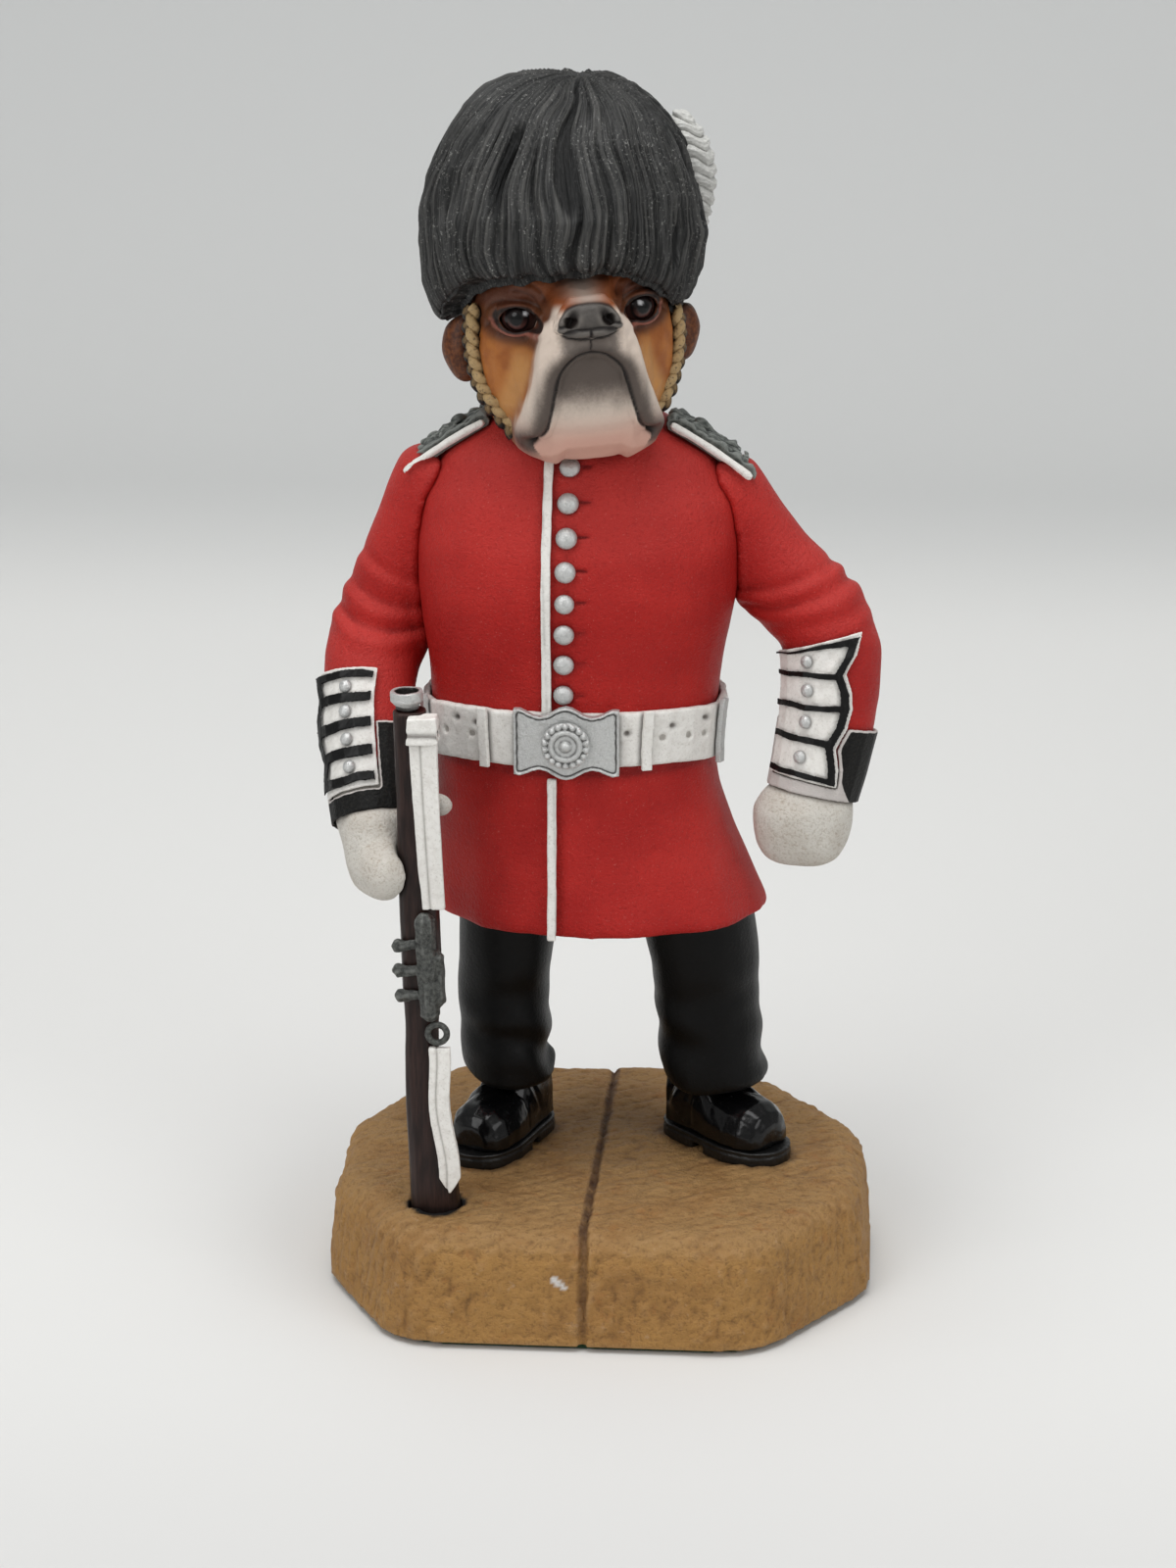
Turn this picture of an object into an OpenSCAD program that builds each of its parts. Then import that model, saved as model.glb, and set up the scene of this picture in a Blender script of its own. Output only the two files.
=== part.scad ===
// Standing guardsman dog figurine on a low octagonal plinth.
// Millimetres, +Z up. The figure faces -Y and the origin is the middle of the felt underside.
// Right and left are the wearer's own sides.

/* [Fit] */
// Gap left between two pieces that are glued or seated together
fit_gap = 0.2; // [0.1:0.05:0.3]
// Facets round a body section
round_n = 28; // [24:4:40]

/* [Plinth] */
// Width of the plinth
base_w = 68; // [58:1:84]
// Depth of the plinth
base_d = 59.4; // [50:0.2:74]
// Height of the plinth above the felt
base_h = 13.7; // [9:0.1:18]
// Width cut off the corners on the right side
base_cut_right = 10.3; // [6:0.1:14]
// Width cut off the corners on the left side
base_cut_left = 13.2; // [6:0.1:15]
// Depth cut off the front corners
base_cut_d = 18.5; // [10:0.1:22]
// Back corners are cut this many times as far
base_cut_back = 1.1; // [1:0.05:1.4]
// Sides lean in toward the top by
base_draft = 0.9; // [0:0.1:2]
// Radius of the rounded top edge
base_round = 3.4; // [1.5:0.1:4]
// Radius of the rounded upright corners
base_corner = 9; // [4:0.5:12]
// Width of the groove across the plinth
groove_w = 0.9; // [0.6:0.1:2]
// Middle of the groove, sideways
groove_x = -0.5; // [-3:0.1:3]
// Depth of that groove
groove_depth = 0.7; // [0.3:0.1:1.2]
// Thickness of the felt
felt_t = 0.8; // [0.5:0.1:1.5]
// Felt cut smaller than the plinth by this much all round
felt_inset = 1.3; // [1:0.1:2]

/* [Boots] */
// Length of a boot from heel to toe
boot_len = 16.4; // [13:0.1:20]
// Width across the ball of the foot
boot_w = 8.6; // [7:0.1:10.4]
// Height of the boot above its sole
boot_h = 11.4; // [10.4:0.1:13]
// Thickness of the sole
sole_t = 2; // [1:0.1:2.2]
// Sole showing beyond the upper
sole_rim = 0.5; // [0.2:0.1:0.8]
// Heel of the right boot, sideways
right_heel_x = -10.6; // [-13:0.1:-8]
// Heel of the right boot, front to back
right_heel_y = 5.6; // [2:0.1:9]
// Right toes turned out by
right_toe_out = 24; // [0:1:45]
// Heel of the left boot, sideways
left_heel_x = 11; // [8:0.1:15]
// Heel of the left boot, front to back
left_heel_y = 5.8; // [2:0.1:9]
// Left toes turned out by
left_toe_out = 49; // [0:1:60]

/* [Trousers] */
// Width of a leg at the knee
leg_w = 12.5; // [10.5:0.1:15]
// Depth of a leg at the knee
leg_d = 14.2; // [12:0.1:17]
// Height of the trouser hem
leg_hem_z = 23.6; // [21:0.1:25]
// Depth of a crease at the knee
leg_crease = 0.45; // [0.2:0.05:0.8]

/* [Tunic] */
// Width across the chest
tunic_w = 39.4; // [32:0.2:48]
// Depth through the chest
tunic_d = 29.6; // [25:0.2:36]
// Middle of the body, sideways
tunic_x = -3.1; // [-5:0.1:1]
// Height of the hem
hem_z = 47; // [44:0.1:49]
// Height of the middle of the belt
waist_z = 71.2; // [68:0.1:74]
// Height of the fullest part of the chest
chest_z = 92; // [89:0.1:95]
// Height of the shoulder points
shoulder_z = 103.4; // [101:0.1:105]
// Height of the neck
neck_z = 110.2; // [109:0.1:112]
// Thickness of the cloth at the hem
hem_t = 1.7; // [1:0.1:2.5]
// Depth of the hollow under the skirt
skirt_hollow = 4.4; // [2:0.1:6]
// Depth of the folds of the skirt
skirt_fold = 0.45; // [0:0.05:0.8]
// Width of the white edging of the front
piping_w = 1.1; // [0.7:0.1:1.6]
// Edging lies to the right of the front line by
piping_x = 2; // [1.2:0.1:3]
// Diameter of a tunic button
button_d = 2.4; // [1.6:0.1:3]
// Number of tunic buttons
button_count = 8; // [6:1:8]

/* [Belt] */
// Height of the belt
belt_h = 6.9; // [5:0.1:8.4]
// Thickness of the belt
belt_t = 0.9; // [0.6:0.1:1.4]
// Diameter of a belt hole
belt_hole_d = 1; // [0.6:0.1:1.4]
// Width of the buckle plate
buckle_w = 12.6; // [10:0.1:15]
// Height of the buckle plate
buckle_h = 9.2; // [7.6:0.1:11]
// Thickness of the buckle plate
buckle_t = 0.9; // [0.6:0.1:1.4]
// Radius of the beaded ring on the buckle
roundel_r = 2.9; // [2:0.1:3.4]

/* [Arms] */
// Width of the upper sleeve
sleeve_w = 12; // [10:0.1:14]
// Width of the sleeve at the wrist
wrist_w = 10.2; // [9:0.1:12]
// Height of the shoulder joint
arm_z = 101.3; // [100:0.1:103]
// Thickness of cuff and cuff panels
cuff_t = 0.4; // [0.3:0.05:0.6]
// Width of a black bar along the arm
cuff_bar_w = 0.8; // [0.6:0.1:1.1]
// Diameter of a cuff button
cuff_button_d = 1.3; // [1:0.1:1.4]
// Depth of a crease inside the elbow
sleeve_crease = 0.5; // [0.2:0.05:0.9]

/* [Gloves] */
// Radius of a gloved finger
finger_r = 1.75; // [1.4:0.05:2.1]
// Radius of the palm
palm_r = 4.6; // [4:0.1:5.4]

/* [Head] */
// Width of the head across the cheeks
head_w = 24.4; // [21:0.2:28]
// Head turned toward the left shoulder by
head_turn = 12; // [0:1:18]
// How far the head leans towards its right shoulder, in degrees
head_tilt = 4; // [0:1:5]
// Middle of the skull, sideways
head_x = -4; // [-6:0.1:0]
// Height of the middle of the skull
head_z = 117; // [116:0.1:119]
// Width of the nose
nose_w = 7.8; // [6.4:0.1:9]
// Diameter of an eye
eye_d = 4.6; // [3.6:0.1:5.2]
// Length of one link of the chin chain
link_len = 2.2; // [1.8:0.1:3]
// Width of the chin chain
chain_w = 2.5; // [2:0.1:3.2]

/* [Bearskin] */
// Width of the cap
cap_w = 33.8; // [29:0.2:38]
// Depth of the cap, front to back
cap_d = 34.4; // [31:0.2:40]
// Height of the crown of the cap
cap_top = 149.4; // [145:0.1:154]
// Height of the brim over the brow
brim_front = 128; // [126.5:0.1:130]
// Height of the brim at the sides
brim_side = 121; // [119:0.1:123]
// Height of the brim at the back
brim_back = 117; // [115:0.1:120]
// Right side of the brim hangs lower than the left by twice this
brim_lean = 1.4; // [0:0.1:2]
// Depth of the locks of fur
tuft_depth = 1.5; // [0.6:0.1:2]
// Locks of fur round the cap
lock_count = 12; // [10:1:15]
// Sideways swing of a lock, in degrees
lock_swing = 9; // [0:1:12]
// Length of the fringe of tips at the brim
tip_len = 0.6; // [0.4:0.1:2]
// Length of the plume
plume_len = 14.6; // [12:0.2:19]
// Width of the plume
plume_w = 5.4; // [4:0.1:6.4]

/* [Rifle] */
// Length of the rifle above the plinth
rifle_len = 65.5; // [58:0.5:72]
// Width of the butt
butt_w = 6.2; // [5:0.1:7.4]
// Thickness of the stock
stock_t = 4.4; // [3.6:0.1:5.2]
// Outer diameter of the muzzle ring
muzzle_d = 3.9; // [3.4:0.1:4.6]
// Bore of the muzzle
bore_d = 2.7; // [1:0.1:2.8]
// Lean of the rifle toward the right
rifle_lean = 1.8; // [0:0.1:3]
// Width of the sling
sling_w = 2.7; // [1.8:0.1:2.9]
// Thickness of the sling
sling_t = 0.8; // [0.5:0.05:1.1]
// Depth of the butt in its socket
socket_depth = 1.6; // [1:0.1:2.5]

/* [Hidden] */
$fn = 24;
front = 270;
floor_z = felt_t + base_h;

// Coat from the hem upward: height, middle x and y, half width, half depth, squareness
tunic_y = 0.9;
waist_w = tunic_w * 0.88;
waist_d = tunic_d * 0.92;
hem_w = tunic_w * 1.06;
hem_d = tunic_d * 1.06;
tunic_sections = [
    [hem_z, tunic_x + 2.4, tunic_y + 1.6, hem_w / 2, hem_d / 2, 2.2],
    [waist_z - belt_h, tunic_x - 0.4, tunic_y + 0.4, waist_w / 2, waist_d / 2, 2.25],
    [waist_z + belt_h, tunic_x - 0.5, tunic_y + 0.2, waist_w / 2 + 0.6, waist_d / 2 + 0.5, 2.3],
    [chest_z, tunic_x, tunic_y, tunic_w / 2, tunic_d / 2, 2.35],
    [shoulder_z, tunic_x, tunic_y + 0.8, tunic_w * 0.46, tunic_d * 0.39, 2.3],
    [shoulder_z + 3.6, tunic_x - 0.3, tunic_y + 1.2, tunic_w * 0.33, tunic_d * 0.32, 2.1],
    [neck_z, tunic_x - 0.5, tunic_y + 1.4, tunic_w * 0.2, tunic_d * 0.27, 2]
];

// Arms: points from the wrist up to the top of the sleeve, each with its radius
arm_in = 3.2;
right_shoulder = [tunic_x - tunic_w / 2 + arm_in, tunic_y + 0.6, arm_z];
left_shoulder = [tunic_x + tunic_w / 2 - arm_in, tunic_y + 0.6, arm_z];
right_wrist = right_shoulder + [-7, -13.6, -39.9];
left_wrist = left_shoulder + [12.2, -4.4, -38];
right_arm = [
    concat(right_wrist, wrist_w / 2),
    concat(right_shoulder + [-9, -4.9, -26.4], sleeve_w * 0.47),
    concat(right_shoulder + [-7.6, 0.4, -18], sleeve_w * 0.5),
    concat(right_shoulder + [-3.4, 0.6, -8], sleeve_w * 0.48),
    concat(right_shoulder, sleeve_w * 0.49),
    concat(right_shoulder + [0.8, 0, 2.2], sleeve_w * 0.36)
];
left_arm = [
    concat(left_wrist, wrist_w / 2),
    concat(left_shoulder + [14.1, -2.2, -27.9], sleeve_w * 0.475),
    concat(left_shoulder + [13.5, -0.2, -18], sleeve_w * 0.5),
    concat(left_shoulder + [5.9, 0.8, -10.2], sleeve_w * 0.48),
    concat(left_shoulder + [-0.6, 0, -0.6], sleeve_w * 0.48),
    concat(left_shoulder + [-1.4, 0, 2.2], sleeve_w * 0.36)
];
arm_end = 5;
elbow_u = 2.6;
// Cuff panels: angles of their two edges round the arm, lower and upper end along the arm, flare at the top
flash_scallop = 13;
right_flash = [212, 286, 0.24, 1.1, 0];
left_flash = [195, 282, 0.22, 1.86, 16];
// How far up the arm each cuff reaches
right_cuff_top = 0.68;
left_cuff_top = 0.84;
bar_count = 5;
// The sleeve ends inside the cuff, where the wrist of the glove meets it
cuff_lap = 0.4;
// Rows of a sleeve whose cuff reaches up to u; the end of the cuff is one of them
function sleeve_rows(u) = concat(
    [cuff_lap],
    [for (k = [2:5]) u * k / 2],
    [for (k = [1:7]) mix(u * 2.5, arm_end, k / 7)]
);

// Rifle: the foot of its left edge stands on the plinth below the right hand
grip = right_wrist + [5.2, -6.5, -0.7];
rifle_x = grip[0] + (grip[2] - floor_z) * sin(rifle_lean) + 0.6;
rifle_y = grip[1] - 0.4;

left_palm = left_wrist + [-1.1, -1.2, -3];
right_palm = right_wrist + [0.4, -2.6, -1.2];

// Piece to build

// Sections and surfaces

function spow(v, e) = sign(v) * pow(abs(v), e);
function unit(v) = v / norm(v);
function mix(a, b, t) = a + (b - a) * t;
function hump(t) = max(0, 1 - t * t);

// Smooth value through a list of stations with equal steps
function blend(p, q, r, s, t) =
    0.5 * (2 * q + (r - p) * t + (2 * p - 5 * q + 4 * r - s) * t * t + (3 * q - p - 3 * r + s) * t * t * t);
function along(st, u) =
    let (m = len(st) - 1, i = min(max(floor(u), 0), m - 1))
    blend(st[max(i - 1, 0)], st[i], st[i + 1], st[min(i + 2, m)], u - i);

// Smooth value through stations whose first number is their height
function span_at(st, z, i = 0) = (i >= len(st) - 2 || z < st[i + 1][0]) ? i : span_at(st, z, i + 1);
function grade(st, i) =
    let (a = max(i - 1, 0), b = min(i + 1, len(st) - 1)) (st[b] - st[a]) / (st[b][0] - st[a][0]);
function section_at(st, z) =
    let (i = span_at(st, z), h = st[i + 1][0] - st[i][0], t = (z - st[i][0]) / h)
    st[i] * (1 + 2 * t) * (1 - t) * (1 - t) + grade(st, i) * h * t * (1 - t) * (1 - t)
    + st[i + 1] * t * t * (3 - 2 * t) + grade(st, i + 1) * h * t * t * (t - 1);

// Coat surface, grown outward by g: round the body at angle a, or across the front at x
skirt_z = waist_z - belt_h;
function skirt_wave(a, z) = skirt_fold * max(0, skirt_z - z) / (skirt_z - hem_z) * cos(9 * a + 40);
function tunic_at(a, z, g) =
    let (s = section_at(tunic_sections, z), w = g + skirt_wave(a, z))
    [s[1] + (s[3] + w) * spow(cos(a), 2 / s[5]), s[2] + (s[4] + w) * spow(sin(a), 2 / s[5]), z];
function tunic_front(x, z, g) =
    let (s = section_at(tunic_sections, z), k = min(abs(x - s[1]) / (s[3] + g), 0.999))
    [x, s[2] - (s[4] + g) * pow(1 - pow(k, s[5]), 1 / s[5]), z];

// Sleeve surface, grown by g: angle a round the arm, u along it from the wrist
function point(v) = [v[0], v[1], v[2]];
function sleeve_at(st, a, u, g) =
    let (p = along(st, u), above = along(st, min(u + 0.05, arm_end)), below = along(st, max(u - 0.05, 0)))
    let (d = unit(point(above) - point(below)), back = unit([0, 1, 0] - d * d[1]), side = cross(back, d))
    let (bend = hump((u - elbow_u) / 0.7) * (0.5 + 0.5 * cos(2 * a + 60)))
    let (r = p[3] + g + sleeve_crease * bend * sin(360 * 2.2 * u + 80 * sin(a)))
    point(p) + r * (side * cos(a) + back * sin(a));

// Outward direction of a surface given as f(s, t, g)
function facing(f, s, t, ds, dt) =
    unit(cross(f(s + ds, t, 0) - f(s - ds, t, 0), f(s, t + dt, 0) - f(s, t - dt, 0)));

// Solid through a stack of rings
module loft(rings) {
    n = len(rings[0]);
    m = len(rings);
    foot = [for (k = [0:2]) [for (p = rings[0]) p[k]] * [for (p = rings[0]) 1 / n]];
    top = [for (k = [0:2]) [for (p = rings[m - 1]) p[k]] * [for (p = rings[m - 1]) 1 / n]];
    points = concat([for (r = rings) each r], [foot, top]);
    walls = [
        for (j = [0:m - 2], i = [0:n - 1])
        let (k = (i + 1) % n)
        each [[j * n + i, (j + 1) * n + i, (j + 1) * n + k], [j * n + i, (j + 1) * n + k, j * n + k]]
    ];
    floor_faces = [for (i = [0:n - 1]) [i, (i + 1) % n, m * n]];
    top_faces = [for (i = [0:n - 1]) [(m - 1) * n + (i + 1) % n, (m - 1) * n + i, m * n + 1]];
    polyhedron(points, concat(walls, floor_faces, top_faces), convexity = 6);
}

// The same stack as a chain of convex slices, for cutting a neighbour's seat
module slices(rings) {
    for (j = [0:len(rings) - 2]) {
        hull() loft([rings[j], rings[j + 1]]);
    }
}

// Sheet on the surface f(s, t, g) from thickness g0 to g1
module sheet(f, s0, s1, t0, t1, g0, g1, ns, nt) {
    row = ns + 1;
    layer = row * (nt + 1);
    points = [
        for (g = [g0, g1], j = [0:nt], i = [0:ns])
        f(mix(s0, s1, i / ns), mix(t0, t1, j / nt), g)
    ];
    skin = [
        for (j = [0:nt - 1], i = [0:ns - 1])
        let (a = j * row + i, b = a + 1, c = b + row, d = a + row)
        each [
            [a + layer, d + layer, c + layer], [a + layer, c + layer, b + layer],
            [a, c, d], [a, b, c]
        ]
    ];
    low = [for (i = [0:ns - 1]) each rim(i + 1, i, layer)];
    high = [for (i = [0:ns - 1]) each rim(nt * row + i, nt * row + i + 1, layer)];
    start = [for (j = [0:nt - 1]) each rim(j * row, (j + 1) * row, layer)];
    finish = [for (j = [0:nt - 1]) each rim((j + 1) * row + ns, j * row + ns, layer)];
    polyhedron(points, concat(skin, low, high, start, finish), convexity = 6);
}
function rim(p, q, layer) = [[q + layer, p + layer, p], [q + layer, p, q]];

// Closed band round the surface f(a, t, g), its outline given as [g, t] corners
module band(f, corners, n) {
    m = len(corners);
    points = [for (i = [0:n - 1], c = corners) f(360 * i / n, c[1], c[0])];
    faces = [
        for (i = [0:n - 1], k = [0:m - 1])
        let (a = i * m + k, b = (i + 1) % n * m + k, c = (i + 1) % n * m + (k + 1) % m)
        let (d = i * m + (k + 1) % m)
        each [[a, d, c], [a, c, b]]
    ];
    polyhedron(points, faces, convexity = 6);
}

// Domed button standing on a surface point p, facing direction n
module stud(p, n, d, h) {
    r = (d * d / 4 + h * h) / (2 * h);
    translate(p) rotate([0, acos(n[2]), atan2(n[1], n[0])]) intersection() {
        translate([0, 0, h - r]) sphere(r);
        cylinder(d = d, h = h);
    }
}

// Rounded bar between two points
module bar(p, q, rp, rq, n = 12) {
    hull() {
        translate(p) sphere(rp, $fn = n);
        translate(q) sphere(rq, $fn = n);
    }
}

// Plinth

base_outline =
    let (a = base_w / 2, b = base_d / 2)
    let (r = base_cut_right, l = base_cut_left, d = base_cut_d, k = base_cut_back)
    [
        [-a, -b + d], [-a + r, -b], [a - l, -b], [a, -b + d],
        [a, b - d * k], [a - l * k, b], [-a + r * k, b], [-a, b - d * k]
    ];
function inward(p, q) = unit([p[1] - q[1], q[0] - p[0]]);
// Corners of the outline moved in, every side by the same distance
function base_corners(inset) =
    let (n = len(base_outline))
    [
        for (i = [0:n - 1])
        let (p = base_outline[i], before = inward(base_outline[(i + n - 1) % n], p))
        let (after = inward(p, base_outline[(i + 1) % n]))
        p + inset * (before + after) / (1 + before * after)
    ];

module base_slice(inset) {
    hull() {
        for (p = base_corners(base_corner + inset)) {
            translate(p) circle(base_corner, $fn = 20);
        }
    }
}

module base_form(inset) {
    steps = 3;
    edge = base_h - base_round;
    hull() {
        linear_extrude(0.02) base_slice(inset);
        for (k = [0:steps]) {
            t = 90 * k / steps;
            translate([0, 0, edge + base_round * sin(t) - inset - 0.02]) {
                linear_extrude(0.02) base_slice(inset + base_draft + base_round * (1 - cos(t)));
            }
        }
    }
}

module felt_pad() {
    color("#1f4a2c") linear_extrude(felt_t) base_slice(felt_inset);
}

module base() {
    color("#9a7136") difference() {
        translate([0, 0, felt_t]) difference() {
            base_form(0);
            difference() {
                translate([groove_x - groove_w / 2, -base_d, -1]) cube([groove_w, 2 * base_d, base_h + 2]);
                translate([0, 0, -0.01]) base_form(groove_depth);
            }
        }
        rifle_place() stock_form(fit_gap);
    }
}

// Boots

module right_foot() {
    translate([right_heel_x, right_heel_y, floor_z]) rotate([0, 0, -right_toe_out]) children();
}

module left_foot() {
    translate([left_heel_x, left_heel_y, floor_z]) rotate([0, 0, left_toe_out]) children();
}

// Stations from the toe to the back of the heel: place along the boot, half width and height as shares
boot_shape = [
    [-0.84, 0.46, 0.26], [-0.8, 0.78, 0.38], [-0.7, 0.98, 0.46], [-0.54, 1.02, 0.5], [-0.4, 0.97, 0.56],
    [-0.17, 0.86, 0.93], [0, 0.84, 1], [0.12, 0.74, 0.99], [0.18, 0.4, 0.97]
];

module boot_slice(s, g) {
    w = boot_w / 2 * s[1] + g;
    h = boot_h * s[2] + g;
    translate([0, boot_len * s[0], sole_t]) rotate([90, 0, 0]) linear_extrude(0.05) {
        polygon([for (a = [-10:25:190]) [w * spow(cos(a), 0.8), max(h * spow(sin(a), 0.8), 0)]]);
    }
}

module boot_form(g) {
    for (k = [0:len(boot_shape) - 2]) {
        hull() {
            boot_slice(boot_shape[k], g);
            boot_slice(boot_shape[k + 1], g);
        }
    }
}

module sole() {
    w = boot_w / 2 + sole_rim;
    difference() {
        linear_extrude(sole_t - fit_gap / 2) hull() {
            translate([0, -0.02 * boot_len]) circle(w * 0.84);
            translate([0, -0.56 * boot_len]) circle(w);
            translate([0, -0.68 * boot_len]) circle(w * 0.9);
        }
        translate([-boot_w, -0.36 * boot_len, -1]) cube([2 * boot_w, 0.12 * boot_len, 1 + sole_t * 0.45]);
    }
}

module right_sole() {
    color("#15130f") right_foot() sole();
}

module left_sole() {
    color("#15130f") left_foot() sole();
}

module right_boot() {
    color("#101012") right_foot() boot_form(0);
}

module left_boot() {
    color("#101012") left_foot() boot_form(0);
}

// Trousers

leg_top = hem_z + skirt_hollow - fit_gap;
right_leg = [
    [leg_hem_z, right_heel_x - 1.6, right_heel_y - 2.6, leg_w * 0.45, leg_d * 0.52],
    [leg_hem_z + 5, right_heel_x - 2.1, right_heel_y - 2.4, leg_w * 0.44, leg_d * 0.49],
    [leg_hem_z + 12, right_heel_x - 2.3, right_heel_y - 2.6, leg_w * 0.45, leg_d * 0.5],
    [leg_hem_z + 19, right_heel_x - 1.9, right_heel_y - 2.8, leg_w * 0.47, leg_d * 0.53],
    [leg_top, right_heel_x - 1.4, right_heel_y - 3, leg_w * 0.5, leg_d * 0.57]
];
left_leg = [
    [leg_hem_z, left_heel_x + 3, left_heel_y - 2.6, leg_w * 0.53, leg_d * 0.52],
    [leg_hem_z + 5, left_heel_x + 2.3, left_heel_y - 2.4, leg_w * 0.51, leg_d * 0.49],
    [leg_hem_z + 12, left_heel_x + 1.7, left_heel_y - 2.6, leg_w * 0.52, leg_d * 0.5],
    [leg_hem_z + 19, left_heel_x + 0.9, left_heel_y - 3, leg_w * 0.56, leg_d * 0.52],
    [leg_top, left_heel_x - 0.6, left_heel_y - 3.4, leg_w * 0.56, leg_d * 0.54]
];

// Creases run slantwise round the leg at the knee and above the boot
function leg_fold(a, t) =
    leg_crease * hump((t - 0.46) / 0.2) * sin(360 * 3.5 * t + 70 * cos(a + 40)) * (0.55 + 0.45 * sin(a + 200))
    + leg_crease * hump((t - 0.1) / 0.14) * sin(360 * 5 * t + 90 * cos(a - 60));
function leg_ring(st, t, g, n, crease) =
    let (s = section_at(st, mix(leg_hem_z, leg_top, t)))
    [
        for (i = [0:n - 1])
        let (a = 360 * i / n, w = g + crease * leg_fold(a, t))
        [s[1] + (s[3] + w) * spow(cos(a), 0.9), s[2] + (s[4] + w) * spow(sin(a), 0.9), s[0]]
    ];

leg_n = 16;
leg_rows = 9;

module leg_solid(st) {
    loft([for (j = [0:leg_rows]) leg_ring(st, j / leg_rows, 0, leg_n, 1)]);
}

module leg_seat(st) {
    slices([for (j = [0:4]) leg_ring(st, 0.8 + 0.2 * j / 4, fit_gap, leg_n, 0)]);
}

module right_trouser_leg() {
    color("#17171b") difference() {
        leg_solid(right_leg);
        right_foot() boot_form(fit_gap);
    }
}

module left_trouser_leg() {
    color("#17171b") difference() {
        leg_solid(left_leg);
        left_foot() boot_form(fit_gap);
    }
}

// Tunic

tunic_rows = 12;
function tunic_ring(z, g, n = round_n) = [for (i = [0:n - 1]) tunic_at(360 * i / n, z, g)];

module tunic_seat(g) {
    slices([
        for (j = [0:tunic_rows])
        tunic_ring(mix(hem_z, neck_z, j / tunic_rows) + (j == tunic_rows ? g : 0), g)
    ]);
}

module tunic() {
    color("#a81f22") difference() {
        loft([for (j = [0:tunic_rows]) tunic_ring(mix(hem_z, neck_z, j / tunic_rows), 0)]);
        slices([for (j = [0:3]) tunic_ring(hem_z + skirt_hollow * (j / 3) - 0.1 * (1 - j / 3), -hem_t)]);
        leg_seat(right_leg);
        leg_seat(left_leg);
    }
}

front_x = tunic_x - 0.9;
piping_t = 0.7;
button_top = neck_z - 5.4;
button_low = waist_z + belt_h / 2 + 3.4;

module upper_piping() {
    x = front_x - piping_x;
    low = waist_z + belt_h / 2 + fit_gap;
    color("#e8e4da") {
        sheet(function (s, t, g) tunic_front(s, t, g), x - piping_w / 2, x + piping_w / 2,
            low, button_top + 0.9, fit_gap, fit_gap + piping_t, 1, 12);
    }
}

module lower_piping() {
    x = front_x - piping_x + 0.6;
    color("#e8e4da") {
        sheet(function (s, t, g) tunic_front(s, t, g + skirt_fold), x - piping_w / 2, x + piping_w / 2,
            hem_z + 0.2, waist_z - buckle_h / 2 - fit_gap, fit_gap, fit_gap + piping_t, 1, 6);
    }
}

module tunic_buttons() {
    f = function (s, t, g) tunic_front(s, t, g);
    color("#b9bcc0") for (k = [0:button_count - 1]) {
        z = mix(button_top, button_low, k / (button_count - 1));
        x = front_x + 0.5 * (1 - k / (button_count - 1));
        stud(f(x, z, fit_gap), facing(f, x, z, 0.3, 0.3), button_d, button_d * 0.42);
    }
}

// Belt

belt_outer = fit_gap + belt_t;

module belt() {
    f = function (a, t, g) tunic_at(a, t, g);
    low = waist_z - belt_h / 2;
    high = waist_z + belt_h / 2;
    round_over = belt_t * 0.3;
    color("#ece8de") difference() {
        band(f, [
            [fit_gap, low], [belt_outer - round_over, low], [belt_outer, low + round_over],
            [belt_outer, high - round_over], [belt_outer - round_over, high], [fit_gap, high]
        ], round_n);
        for (a = [-60, -52, -36, 36, 50, 61]) {
            p = tunic_at(front + a, waist_z, belt_outer);
            n = facing(f, front + a, waist_z, 1, 0.5);
            translate(p - n * belt_t * 0.5) {
                rotate([0, acos(n[2]), atan2(n[1], n[0])]) cylinder(d = belt_hole_d, h = belt_t, $fn = 16);
            }
        }
    }
}

module belt_keepers() {
    color("#ece8de") for (a = [-29, 28]) {
        sheet(function (s, t, g) tunic_at(s, t, g), front + a - 2, front + a + 2,
            waist_z - belt_h / 2 - 0.3, waist_z + belt_h / 2 + 0.3,
            belt_outer + fit_gap / 2, belt_outer + fit_gap / 2 + 0.6, 2, 3);
    }
}

module belt_slides() {
    color("#b9bcc0") for (a = [-68, 73]) {
        sheet(function (s, t, g) tunic_at(s, t, g), front + a - 2.6, front + a + 2.6,
            waist_z - belt_h / 2 - 0.6, waist_z + belt_h / 2 + 0.6,
            belt_outer + fit_gap / 2, belt_outer + fit_gap / 2 + 0.7, 2, 3);
    }
}

// The plate is waisted in the middle of each long edge and curls out at its corners
function buckle_edge(k) = buckle_h / 2 * (0.86 + 0.14 * cos(360 * k) - 0.1 * pow(abs(k), 6));
buckle_x = tunic_x - 0.5;
buckle_g = belt_outer + fit_gap / 2;

module buckle_plate() {
    f = function (s, t, g) tunic_front(buckle_x + s * buckle_w / 2, waist_z + t * buckle_edge(s), g);
    color("#aeb2b6") sheet(f, -1, 1, -1, 1, buckle_g, buckle_g + buckle_t, 16, 2);
}

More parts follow.
